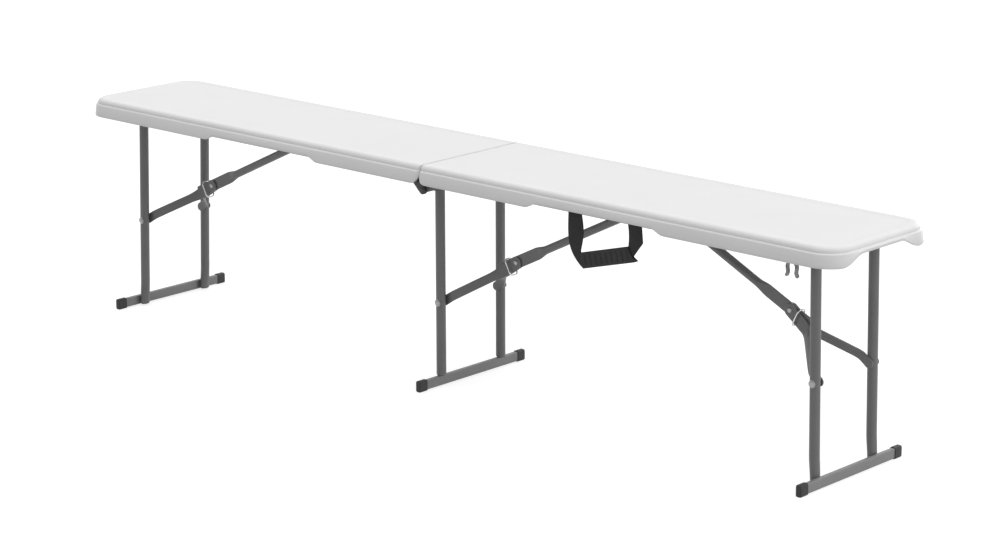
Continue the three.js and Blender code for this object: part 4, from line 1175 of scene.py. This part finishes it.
@dataclass
class Brace:
    """A folding Y brace: an upper arm, two lower arms, a knee rivet and a locking ring."""

    leg: LegFrame
    anchor_distance: float
    knee_offset: float
    rise: float
    anchor_z: float = 392.0
    stowed_drop: float = 2.3
    stowed_knee_z: float = 388.0
    fitting_rounds: int = 6
    arm_thickness: float = 3.0
    head_half: float = 11.5
    arm_half: float = 8.5
    head_length: float = 34.0
    taper_length: float = 26.0
    parallel_length: float = 44.0
    foot_length: float = 20.0
    tube_diameter: float = 15.0
    flat_thickness: float = 3.6
    flat_width: float = 22.8
    tail: float = 47.0
    flat_length: float = 52.0
    neck: float = 28.0
    end_margin: float = 7.0
    wire: float = 2.8
    ring_half_width: float = 8.7
    ring_half_height: float = 14.5
    ring_corner: float = 7.0
    ring_offset: float = 18.0
    rivet_radius: float = 4.75
    rivet_height: float = 2.4
    shank_radius: float = 3.0
    panel_z: float = PANEL_Z
    ear_inside: float = 7.8
    ear_thickness: float = 2.5
    ear_half: float = 10.0
    plate_half: float = 18.0
    plate_corner: float = 0.8
    ear_corner: float = 1.0
    pin_radius: float = 4.0
    pin_edge: float = 0.6
    squareness: float = 0.45
    tail_rows: tuple[float, ...] = (0.0, 0.3, 0.9, 2.0, 3.6)
    tail_shares: tuple[float, ...] = (0.8, 0.88, 0.94, 0.98, 1.0)
    tail_plain: float = 14.0
    bend_soft: float = 5.0
    least_half: float = 1.2
    strip_edge: float = 0.7
    run: float = RUN

    def __post_init__(self) -> None:
        """Works out the pivots' places, as the model does.

        The arms are as long as they must be for the knee to lie knee_offset above the line between the
        outer pivots when open, and at its stowed height when the leg is folded. Each length depends a
        little on the other, so they are worked out a few times over. The knee is then where circles
        round the two outer pivots cross.
        """
        leg = self.leg
        sag = 0.0 if leg.on_top else self.stowed_drop
        self.foot = np.array(leg.bolt)
        self.anchor = np.array([leg.pivot_x + self.rise * self.anchor_distance, self.anchor_z])
        span = self.anchor - self.foot
        reach = float(np.hypot(*span))
        stowed_bolt = math.sqrt(leg.bolt_distance**2 - sag**2)
        drop = leg.pivot_z - sag - self.stowed_knee_z
        excess = self.anchor_distance - stowed_bolt
        for _ in range(self.fitting_rounds):
            bow = 1.0 + (2.0 * self.knee_offset) ** 2 / (reach**2 - excess**2)
            self.lower_length = (reach * math.sqrt(bow) - excess) / 2.0
            stowed_knee = stowed_bolt - math.sqrt(self.lower_length**2 - drop**2)
            stowed_reach = self.anchor_distance - stowed_knee
            self.upper_length = math.hypot(stowed_reach, self.anchor_z - self.stowed_knee_z)
            excess = self.upper_length - self.lower_length
        along = (self.lower_length**2 + reach**2 - self.upper_length**2) / (2.0 * reach)
        above = math.sqrt(self.lower_length**2 - along**2)
        axis = span / reach
        normal = self.rise * np.array([-axis[1], axis[0]])
        self.knee = self.foot + axis * along + normal * above

    def place(self, local: Array, target: Array) -> Array:
        """Moves points from a frame at the knee, with x towards a target, into the bench's frame.

        Args:
            local: Points whose last axis is x, y and z.
            target: X and Z of the point that the frame's x axis looks at.

        Returns:
            The moved points.
        """
        direction = (target - self.knee) / np.hypot(*(target - self.knee))
        x = self.knee[0] + local[..., 0] * direction[0] - local[..., 2] * direction[1]
        z = self.knee[1] + local[..., 0] * direction[1] + local[..., 2] * direction[0]
        return np.stack([x, local[..., 1], z], -1)

    def upper_arm(self) -> Surface:
        """A round tube that flattens towards the knee: superellipses whose half sizes follow a step.

        Returns:
            The surface.
        """
        tail = -self.tail + np.array(self.tail_rows)
        plain = np.linspace(-self.tail + self.tail_plain, self.flat_length, 6)
        neck = np.linspace(self.flat_length, self.flat_length + self.neck, 16)[1:]
        round_part = np.linspace(self.flat_length + self.neck, self.upper_length + self.end_margin, 8)[1:]
        x = np.concatenate([tail, plain, neck, round_part])
        flat = 1.0 - smooth_step((x - self.flat_length) / self.neck)
        trim = np.concatenate([self.tail_shares, np.ones(len(x) - len(tail))])
        half_y = (self.tube_diameter + (self.flat_thickness - self.tube_diameter) * flat) / 2.0
        half_z = (self.tube_diameter + (self.flat_width - self.tube_diameter) * flat) / 2.0 * trim
        power = (1.0 + (self.squareness - 1.0) * flat)[:, None]
        angle = ring_angles(56)[None, :] + math.pi / 56.0
        y = half_y[:, None] * squared(np.cos(angle), power)
        z = half_z[:, None] * squared(np.sin(angle), power)
        local = np.stack([np.broadcast_to(x[:, None], y.shape), y, z], -1)
        return Surface(self.place(local, self.anchor))

    def lower_arm(self, side: float) -> Surface:
        """A flat strip bent outwards: rounded rectangles across a path that bends in plan.

        The half width follows a circle at each end, and steps down from the head to the shank.

        Args:
            side: -1 for the front arm, 1 for the rear one.

        Returns:
            The surface.
        """
        start, end = -self.head_half, self.lower_length + self.arm_half
        turn = quarter_turn(10)
        head = start + self.head_half * (1.0 - np.cos(turn))
        foot = end - self.arm_half * (1.0 - np.cos(turn[::-1]))
        x = np.concatenate([head, np.linspace(0.0, self.lower_length, 60)[1:-1], foot])
        taper = smooth_step((x - self.head_length) / self.taper_length)
        half = self.head_half + (self.arm_half - self.head_half) * taper
        near = np.sqrt(np.maximum(self.head_half**2 - np.minimum(x, 0.0) ** 2, 0.0))
        past = np.maximum(x - self.lower_length, 0.0)
        far = np.sqrt(np.maximum(self.arm_half**2 - past**2, 0.0))
        half = np.where(x < 0.0, near, np.where(x > self.lower_length, far, half))
        half = np.maximum(half, self.least_half)
        inner = self.flat_thickness / 2.0 + self.run + self.arm_thickness / 2.0
        outer = self.leg.tube_spacing - self.leg.tube_diameter / 2.0 - self.run - self.arm_thickness / 2.0
        bend_start, bend_end = self.parallel_length, self.lower_length - self.foot_length
        slope = (outer - inner) / (bend_end - bend_start)
        soft = self.bend_soft
        rise = (np.hypot(x - bend_start, soft) - np.hypot(x - bend_end, soft)) / 2.0
        span = (bend_end - bend_start) / 2.0
        y = inner + slope * (rise + span)
        path = np.stack([x, side * y, np.zeros_like(x)], -1)
        section = rounded_rectangle(np.full(x.shape, self.arm_thickness), 2.0 * half, self.strip_edge, 4)
        local = sweep_in_plane(path, section, np.array([0.0, 0.0, 1.0])).points
        return Surface(self.place(local, self.foot))

    def ring(self) -> Surface:
        """The locking ring: a round wire carried round a rounded rectangle.

        Returns:
            The surface.
        """
        direction = (self.anchor - self.knee) / self.upper_length
        up = math.copysign(1.0, direction[0])
        hang = self.ring_half_height - self.flat_width / 2.0 - self.run
        width = 2.0 * self.ring_half_width + self.wire
        height = 2.0 * self.ring_half_height + self.wire
        loop = rounded_rectangle(width, height, self.ring_corner, 12)
        path = np.stack([np.full(len(loop), -self.ring_offset), loop[:, 0], loop[:, 1] - up * hang], -1)
        angle = ring_angles(20)
        section = self.wire / 2.0 * np.stack([np.cos(angle), np.sin(angle)], -1)
        surface = sweep_in_plane(path, section, np.array([1.0, 0.0, 0.0]), closed=True)
        return Surface(self.place(surface.points, self.anchor), Ends.LOOP)

    def rivet(self) -> Surface:
        """The knee rivet: two low domes on a shank, turned round the knee's axis."""
        head = self.flat_thickness / 2.0 + self.run + self.arm_thickness + self.run
        half = [(self.shank_radius, head), *dome(self.rivet_radius, self.rivet_height, head)]
        return lathe_along_y(mirrored(half), self.knee)

    def bracket(self) -> list[Surface]:
        """The anchor: a plate under the panel, two ears that narrow round the pin, and the pin."""
        x, z = self.anchor
        inside, wall = self.ear_inside, self.ear_thickness
        outside = inside + wall
        top, bottom = self.panel_z, self.panel_z - wall
        flat = [(x - self.plate_half, bottom), (x + self.plate_half, bottom)]
        flat += [(x + self.plate_half, top), (x - self.plate_half, top)]
        tip = 2.0 * self.pin_radius
        ear = [(x - tip, z - tip), (x + tip, z - tip), (x + self.ear_half, top), (x - self.ear_half, top)]
        corner = self.ear_corner
        ear_outline = soft_corners(ear, [tip - corner, tip - corner, corner, corner])
        pin = pin_profile(self.pin_radius, outside + self.run, self.pin_edge)
        return [
            slab(soft_corners(flat, self.plate_corner), -outside, outside),
            slab(ear_outline, inside, outside),
            slab(ear_outline, -outside, -inside),
            lathe_along_y(pin, self.anchor),
        ]

    def build(self, shop: Workshop) -> None:
        """Makes the brace's pieces."""
        name = self.leg.name
        node = f"{name}_brace"
        upper, lower = f"{name}_upper_arm", f"{name}_lower_arms"
        shop.add(f"{name}_upper_strut", self.upper_arm(), Slot.FRAME, upper, f"{node}_upper_arm")
        shop.add(f"{name}_knee", self.rivet(), Slot.BOLT, upper, f"{node}_knee_rivet")
        shop.add(f"{name}_wire_ring", self.ring(), Slot.ZINC, f"{name}_ring", f"{node}_lock_ring")
        shop.add(f"{name}_front_strut", self.lower_arm(-1.0), Slot.FRAME, lower, f"{node}_front_arm")
        shop.add(f"{name}_rear_strut", self.lower_arm(1.0), Slot.FRAME, lower, f"{node}_rear_arm")
        half = "left_half" if self.anchor[0] < 0.0 else "right_half"
        shop.add(f"{name}_bracket", self.bracket(), Slot.FRAME, half, f"{node}_anchor")


@dataclass
class Clip:
    """The two-pronged clip under the front rail, where the left leg's cross tube lies when folded."""

    x: float = LEFT_PIVOT
    y: float = -106.0
    radius: float = 9.4
    thickness: float = 4.6
    depth: float = 6.5
    arch_z: float = 371.0
    throat_z: float = 362.0
    tip_z: float = 354.0
    pinch: float = 1.1
    flare: float = 1.6
    stem_half: float = 6.0
    foot_half: float = 9.0
    top_z: float = 402.4
    edge: float = 0.9
    prong_start: float = 2.0
    prong_end: float = 19.0
    least_tip: float = 0.35

    def hook(self) -> Surface:
        """An arch with two prongs: a rounded rectangle carried along its middle line.

        Each prong comes in by the pinch down to the throat and flares out to its tip, along smooth
        steps. The section draws in over the last stretch to a tip along a circle.

        Returns:
            The surface.
        """
        tip = self.thickness / 2.0
        rounded = tip * (1.0 - np.cos(quarter_turn(6)))
        past = np.concatenate([rounded, np.linspace(self.prong_start, self.prong_end, 18)])
        z = self.tip_z + past
        bow = self.radius - self.pinch * smooth_step((self.arch_z - z) / (self.arch_z - self.throat_z))
        spread = smooth_step((self.throat_z - z) / (self.throat_z - self.tip_z))
        bow = bow + (self.pinch + self.flare) * spread
        swing = np.linspace(math.pi, 0.0, 28)
        x = self.x + np.concatenate([-bow, self.radius * np.cos(swing), bow[::-1]])
        height = np.concatenate([z, self.arch_z + self.radius * np.sin(swing), z[::-1]])
        path = np.stack([x, np.full(x.shape, self.y), height], -1)
        near = np.clip(past / tip, 0.0, 1.0)
        draw = np.maximum(np.sqrt(1.0 - (1.0 - near) ** 2), self.least_tip)
        trim = np.concatenate([draw, np.ones(len(swing)), draw[::-1]])
        deep = self.depth - self.thickness * (1.0 - trim)
        section = rounded_rectangle(self.thickness * trim, deep, self.edge * trim)
        return sweep_in_plane(path, section, np.array([0.0, 1.0, 0.0]))

    def block(self, half: float, bottom: float) -> Surface:
        """A block under the rail's flange.

        Args:
            half: Half its width.
            bottom: Height of its lower face.

        Returns:
            The surface.
        """
        left, right = self.x - half, self.x + half
        corners = [(left, bottom), (right, bottom), (right, self.top_z), (left, self.top_z)]
        return slab(soft_corners(corners, self.edge), self.y - self.depth / 2.0, self.y + self.depth / 2.0)

    def build(self, shop: Workshop) -> None:
        """Makes the clip."""
        stem = self.block(self.stem_half, self.arch_z + self.radius - self.thickness / 3.0)
        foot = self.block(self.foot_half, self.top_z - self.thickness)
        shop.add("two_pronged_clip", [self.hook(), stem, foot], Slot.CLIP, "right_half", "closing_clip")


@dataclass
class Edge:
    """One edge of a run of webbing: from its top to its end, with a bow, a bulge and a corner.

    The corner is given by its share of the way down and by how far it stands out sideways.
    """

    top: float
    end: Sequence[float]
    power: float = 1.0
    bulge: float = 0.0
    corner: Pair = (0.5, 0.0)

    def points(self, share: Array, top_z: float) -> Array:
        """X moves with a power of the share, plus a half sine wave and a tent; Z moves evenly.

        Args:
            share: How far down the run, 0 to 1.
            top_z: Height of the run's top.

        Returns:
            Points as rows of X and Z.
        """
        at, out = self.corner
        tent = out * np.minimum(share / at, (1.0 - share) / (1.0 - at))
        x = self.top + (self.end[0] - self.top) * share**self.power + self.bulge * np.sin(math.pi * share)
        x = x + tent
        return np.stack([x, top_z + (self.end[1] - top_z) * share], -1)


@dataclass
class Handle:
    """The carry handle: two hanging runs of webbing that turn into the ends of a moulded grip."""

    y: float = -122.5
    top_z: float = 390.0
    webbing: float = 2.4
    webbing_edge: float = 1.1
    left_outer: float = 343.0
    left_inner: float = 373.0
    right_inner: float = 475.5
    right_outer: float = 505.5
    left_power: float = 4.2
    left_bow: float = -1.0
    left_bulge: float = 5.5
    right_bulge: float = 1.5
    right_corner: Pair = (0.51, 12.0)
    grip_left: Pair = (377.0, 295.4)
    grip_length: float = 120.7
    grip_tilt: float = 0.2653
    grip_width: float = 28.0
    grip_thickness: float = 8.0
    grip_power: float = 0.38
    shoulder: float = 111.0
    notch: Pair = (117.0, 9.0)
    lip: Pair = (124.5, 1.8)
    lip_half: float = 1.0
    thinning: tuple[float, ...] = (1.0, 1.0, 0.8, 0.3)
    grip_end: float = 2.0
    first_row: float = 2.2
    least_high: float = 0.2
    least_thick: float = 0.5
    ribs: int = 9
    rib_depth: float = 1.0
    rib_half: float = 1.7
    rib_soft: float = 0.8
    rib_margin: float = 3.0
    rib_fade: float = 2.0
    tuck: float = 6.0

    @property
    def along(self) -> Array:
        """Unit vector along the grip, in X and Z."""
        return np.array([math.cos(self.grip_tilt), math.sin(self.grip_tilt)])

    def on_grip(self, u: Number, w: Number) -> Array:
        """X and Z of a place on the grip, u along it and w up it from its lower left corner."""
        across = np.array([-self.along[1], self.along[0]])
        u, w = (np.asarray(size)[..., None] for size in (u, w))
        return np.array(self.grip_left) + u * self.along + w * across

    def run(self, outer: Edge, inner: Edge, way: float) -> Surface:
        """A run of webbing: a flat band ruled between two edges, with an end tucked into the grip.

        Args:
            outer: The edge on the side away from the other run.
            inner: The edge on the side of the other run.
            way: 1 for the left run, -1 for the right one.

        Returns:
            The surface.
        """
        share = np.linspace(0.0, 1.0, 61)
        tucked = way * self.tuck * self.along
        edges = [edge.points(share, self.top_z) for edge in (outer, inner)]
        edges = [np.concatenate([points, points[-1:] + tucked]) for points in edges]
        span = edges[1] - edges[0]
        width = np.linalg.norm(span, axis=1)
        section = rounded_rectangle(width, np.full(width.shape, self.webbing), self.webbing_edge, 4)
        flat = (edges[0] + edges[1])[:, None] / 2.0 + section[..., :1] * (span / width[:, None])[:, None]
        return Surface(np.stack([flat[..., 0], self.y + section[..., 1], flat[..., 1]], -1))

    def grip(self) -> Surface:
        """The grip: squared ovals along a slanting line, with ribs pressed across its front.

        Its right end slants down to a notch, and ends in a pointed lip along its lower edge.

        Returns:
            The surface.
        """
        start = self.grip_end * (1.0 - np.cos(quarter_turn(8)))
        body = np.linspace(self.first_row, self.shoulder, 240)
        slant = np.linspace(self.shoulder, self.lip[0], 30)[1:]
        u = np.concatenate([start, body, slant])
        low = np.interp(u, [0.0, self.notch[0], self.lip[0]], [0.0, 0.0, self.lip[1] - self.lip_half])
        corner = [0.0, self.shoulder, self.notch[0], self.lip[0]]
        full = self.grip_width
        high = np.interp(u, corner, [full, full, self.notch[1], self.lip[1] + self.lip_half])
        thin = np.interp(u, corner, self.thinning)
        rounded = np.sqrt(1.0 - (1.0 - start / self.grip_end) ** 2)
        draw = np.concatenate([rounded, np.ones(len(u) - len(start))])
        trim = 1.0 - 2.0 * (1.0 - np.maximum(draw, self.least_high)) / full
        angle = ring_angles(72)[None, :] + math.pi / 72.0
        half_w = ((high - low) / 2.0 * trim)[:, None]
        half_y = (self.grip_thickness / 2.0 * thin * np.maximum(draw, self.least_thick))[:, None]
        w = half_w * squared(np.cos(angle), self.grip_power)
        y = half_y * squared(np.sin(angle), self.grip_power)
        pitch = self.grip_length / (self.ribs + 1)
        near_rib = np.abs((u / pitch + 0.5) % 1.0 - 0.5) * pitch
        ribbed = (u > pitch / 2.0) & (u < self.shoulder)
        groove = smooth_step((self.rib_half - near_rib) / self.rib_soft + 0.5) * ribbed
        inside = smooth_step((full / 2.0 - self.rib_margin - np.abs(w)) / self.rib_fade) * (y < 0.0)
        y = y + self.rib_depth * groove[:, None] * inside
        flat = self.on_grip(np.broadcast_to(u[:, None], w.shape), ((low + high) / 2.0)[:, None] + w)
        return Surface(np.stack([flat[..., 0], self.y + y, flat[..., 1]], -1))

    def build(self, shop: Workshop) -> None:
        """Makes the two runs and the grip."""
        corner = self.on_grip(0.0, self.grip_width)
        outer = Edge(self.left_outer, self.grip_left, self.left_power, self.left_bow)
        left = self.run(outer, Edge(self.left_inner, corner, bulge=self.left_bulge), 1.0)
        notch = self.on_grip(*self.notch)
        shoulder = self.on_grip(self.shoulder, self.grip_width)
        outer = Edge(self.right_outer, notch, corner=self.right_corner)
        right = self.run(outer, Edge(self.right_inner, shoulder, bulge=self.right_bulge), -1.0)
        shop.add("left_webbing", left, Slot.WEBBING, "handle", "handle_left_strap")
        shop.add("right_webbing", right, Slot.WEBBING, "handle", "handle_right_strap")
        shop.add("carry_grip", self.grip(), Slot.GRIP, "handle", "handle_grip")


@dataclass(frozen=True)
class Lamp:
    """A broad soft lamp far away: its strength, its width in radians and where it stands."""

    name: str
    energy: float
    spread: float
    source: tuple[float, float, float]

    def build(self) -> None:
        """Makes the lamp."""
        lamp = bpy.data.lights.new(self.name, "SUN")
        lamp.energy = self.energy
        lamp.angle = self.spread
        holder = put(self.name, lamp)
        holder.rotation_euler = Vector(self.source).to_track_quat("Z", "Y").to_euler()


@dataclass
class Studio:
    """The floor, the lights and the camera."""

    camera_place: tuple[float, float, float] = (3514.5, -3760.1, 1569.3)
    yaw: float = 0.73823
    pitch: float = 0.25611
    roll: float = -0.0016
    focal_px: float = 2913.0
    frame_px: float = 1000.0
    frame_height_px: float = 536.0
    centre_px: Pair = (508.7, 259.37)
    sensor: float = 36.0
    sky: float = 0.49
    lamps: tuple[Lamp, ...] = (
        Lamp("high_lamp", 1.28, 1.1, (0.0, 0.1, 1.0)),
        Lamp("side_lamp", 0.75, 0.8, (1.0, 0.35, 0.15)),
        Lamp("back_lamp", 1.0, 0.8, (-0.1, 1.0, 0.15)),
    )
    floor_reach: float = 30.0
    floor_colour: str = "#B4B4B4"
    seen_colour: str = "#AAAAAA"
    floor_glow: float = 0.78
    far_metres: float = 100.0

    def camera(self) -> None:
        """Sets the camera from its place, its three angles and its focal length in pixels."""
        forward = Vector((
            -math.sin(self.yaw) * math.cos(self.pitch),
            math.cos(self.yaw) * math.cos(self.pitch),
            -math.sin(self.pitch),
        ))
        level = Vector((math.cos(self.yaw), math.sin(self.yaw), 0.0))
        upright = level.cross(forward)
        right = level * math.cos(self.roll) + upright * math.sin(self.roll)
        up = upright * math.cos(self.roll) - level * math.sin(self.roll)
        data = bpy.data.cameras.new("camera")
        data.sensor_width = self.sensor
        data.sensor_fit = "HORIZONTAL"
        data.lens = self.focal_px / self.frame_px * self.sensor
        data.shift_x = (self.frame_px / 2.0 - self.centre_px[0]) / self.frame_px
        data.shift_y = (self.centre_px[1] - self.frame_height_px / 2.0) / self.frame_px
        data.clip_end = self.far_metres
        camera = put("camera", data)
        turn = Matrix((right, up, -forward)).transposed().to_4x4()
        camera.matrix_world = Matrix.Translation(Vector(self.camera_place) * MM) @ turn
        bpy.context.scene.camera = camera

    def floor(self) -> None:
        """A plain floor, white to the eye and in reflections, and mid grey to the light it throws back."""
        mesh = bpy.data.meshes.new("floor")
        reach = self.floor_reach
        corners = [(-reach, -reach, 0.0), (reach, -reach, 0.0), (reach, reach, 0.0), (-reach, reach, 0.0)]
        mesh.from_pydata(corners, [], [(0, 1, 2, 3)])
        floor = put("floor", mesh)
        material = bpy.data.materials.new("white_studio_floor")
        tree = empty_tree(material)
        seen = self.seen(tree)
        colour = mixed(tree, self.floor_colour, self.seen_colour, seen)
        diffuse = add_node(tree, "ShaderNodeBsdfDiffuse", {}, {"Color": colour})
        lift = maths(tree, "MULTIPLY", seen, self.floor_glow)
        glow = add_node(tree, "ShaderNodeEmission", {}, {"Strength": lift})
        both = add_node(tree, "ShaderNodeAddShader", {}, {0: diffuse.outputs[0], 1: glow.outputs[0]})
        add_node(tree, "ShaderNodeOutputMaterial", {}, {"Surface": both.outputs[0]})
        mesh.materials.append(material)

    def seen(self, tree: bpy.types.NodeTree) -> Any:
        """A socket that is 1 for what the eye, a reflection or a clear material sees."""
        rays = add_node(tree, "ShaderNodeLightPath", {}, {}).outputs
        straight = maths(tree, "MAXIMUM", rays["Is Camera Ray"], rays["Is Glossy Ray"])
        return maths(tree, "MAXIMUM", straight, rays["Is Transmission Ray"])

    def lights(self) -> None:
        """A pale sky all round, and soft lamps overhead, at the right end and at the back."""
        world = bpy.data.worlds.new("studio")
        bpy.context.scene.world = world
        tree = empty_tree(world)
        limits = {"To Min": self.sky, "To Max": 1.0}
        strength = add_node(tree, "ShaderNodeMapRange", limits, {"Value": self.seen(tree)}).outputs[0]
        sky = add_node(tree, "ShaderNodeBackground", {"Color": WHITE}, {"Strength": strength})
        add_node(tree, "ShaderNodeOutputWorld", {}, {"Surface": sky.outputs[0]})
        for lamp in self.lamps:
            lamp.build()

    def build(self) -> None:
        """Sets the stage, and the plain view transform."""
        bpy.context.scene.view_settings.view_transform = "Standard"
        self.camera()
        self.floor()
        self.lights()


def main() -> None:
    """Builds the studio and the bench."""
    logging.basicConfig(level=logging.INFO, format="%(name)s: %(message)s")
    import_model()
    Studio().build()
    shop = Workshop()
    for side, sign, pivot, layer in (("left", -1.0, LEFT_PIVOT, 1), ("right", 1.0, RIGHT_PIVOT, 0)):
        SeatHalf(side, sign).build(shop)
        Underframe(side, sign, pivot, layer).build(shop)
    HingePin().build(shop, "right_half")
    left = LegFrame("left", -LEFT_PIVOT, END_PIVOT_Z, foot_offset=26.7, out=-1.0)
    centre = LegFrame("centre", 0.0, HINGE_Z, foot_offset=0.0, out=1.0)
    right = LegFrame("right", RIGHT_PIVOT, END_PIVOT_Z, foot_offset=21.2, out=1.0)
    for leg in (left, centre, right):
        leg.build(shop)
    braces = (
        Brace(left, anchor_distance=404.0, knee_offset=12.0, rise=1.0),
        Brace(centre, anchor_distance=424.0, knee_offset=13.5, rise=1.0),
        Brace(right, anchor_distance=371.0, knee_offset=20.0, rise=-1.0),
    )
    for brace in braces:
        brace.build(shop)
    Clip().build(shop)
    Handle().build(shop)
    LOG.info("%d pieces made", shop.count)


if __name__ == "__main__":
    main()
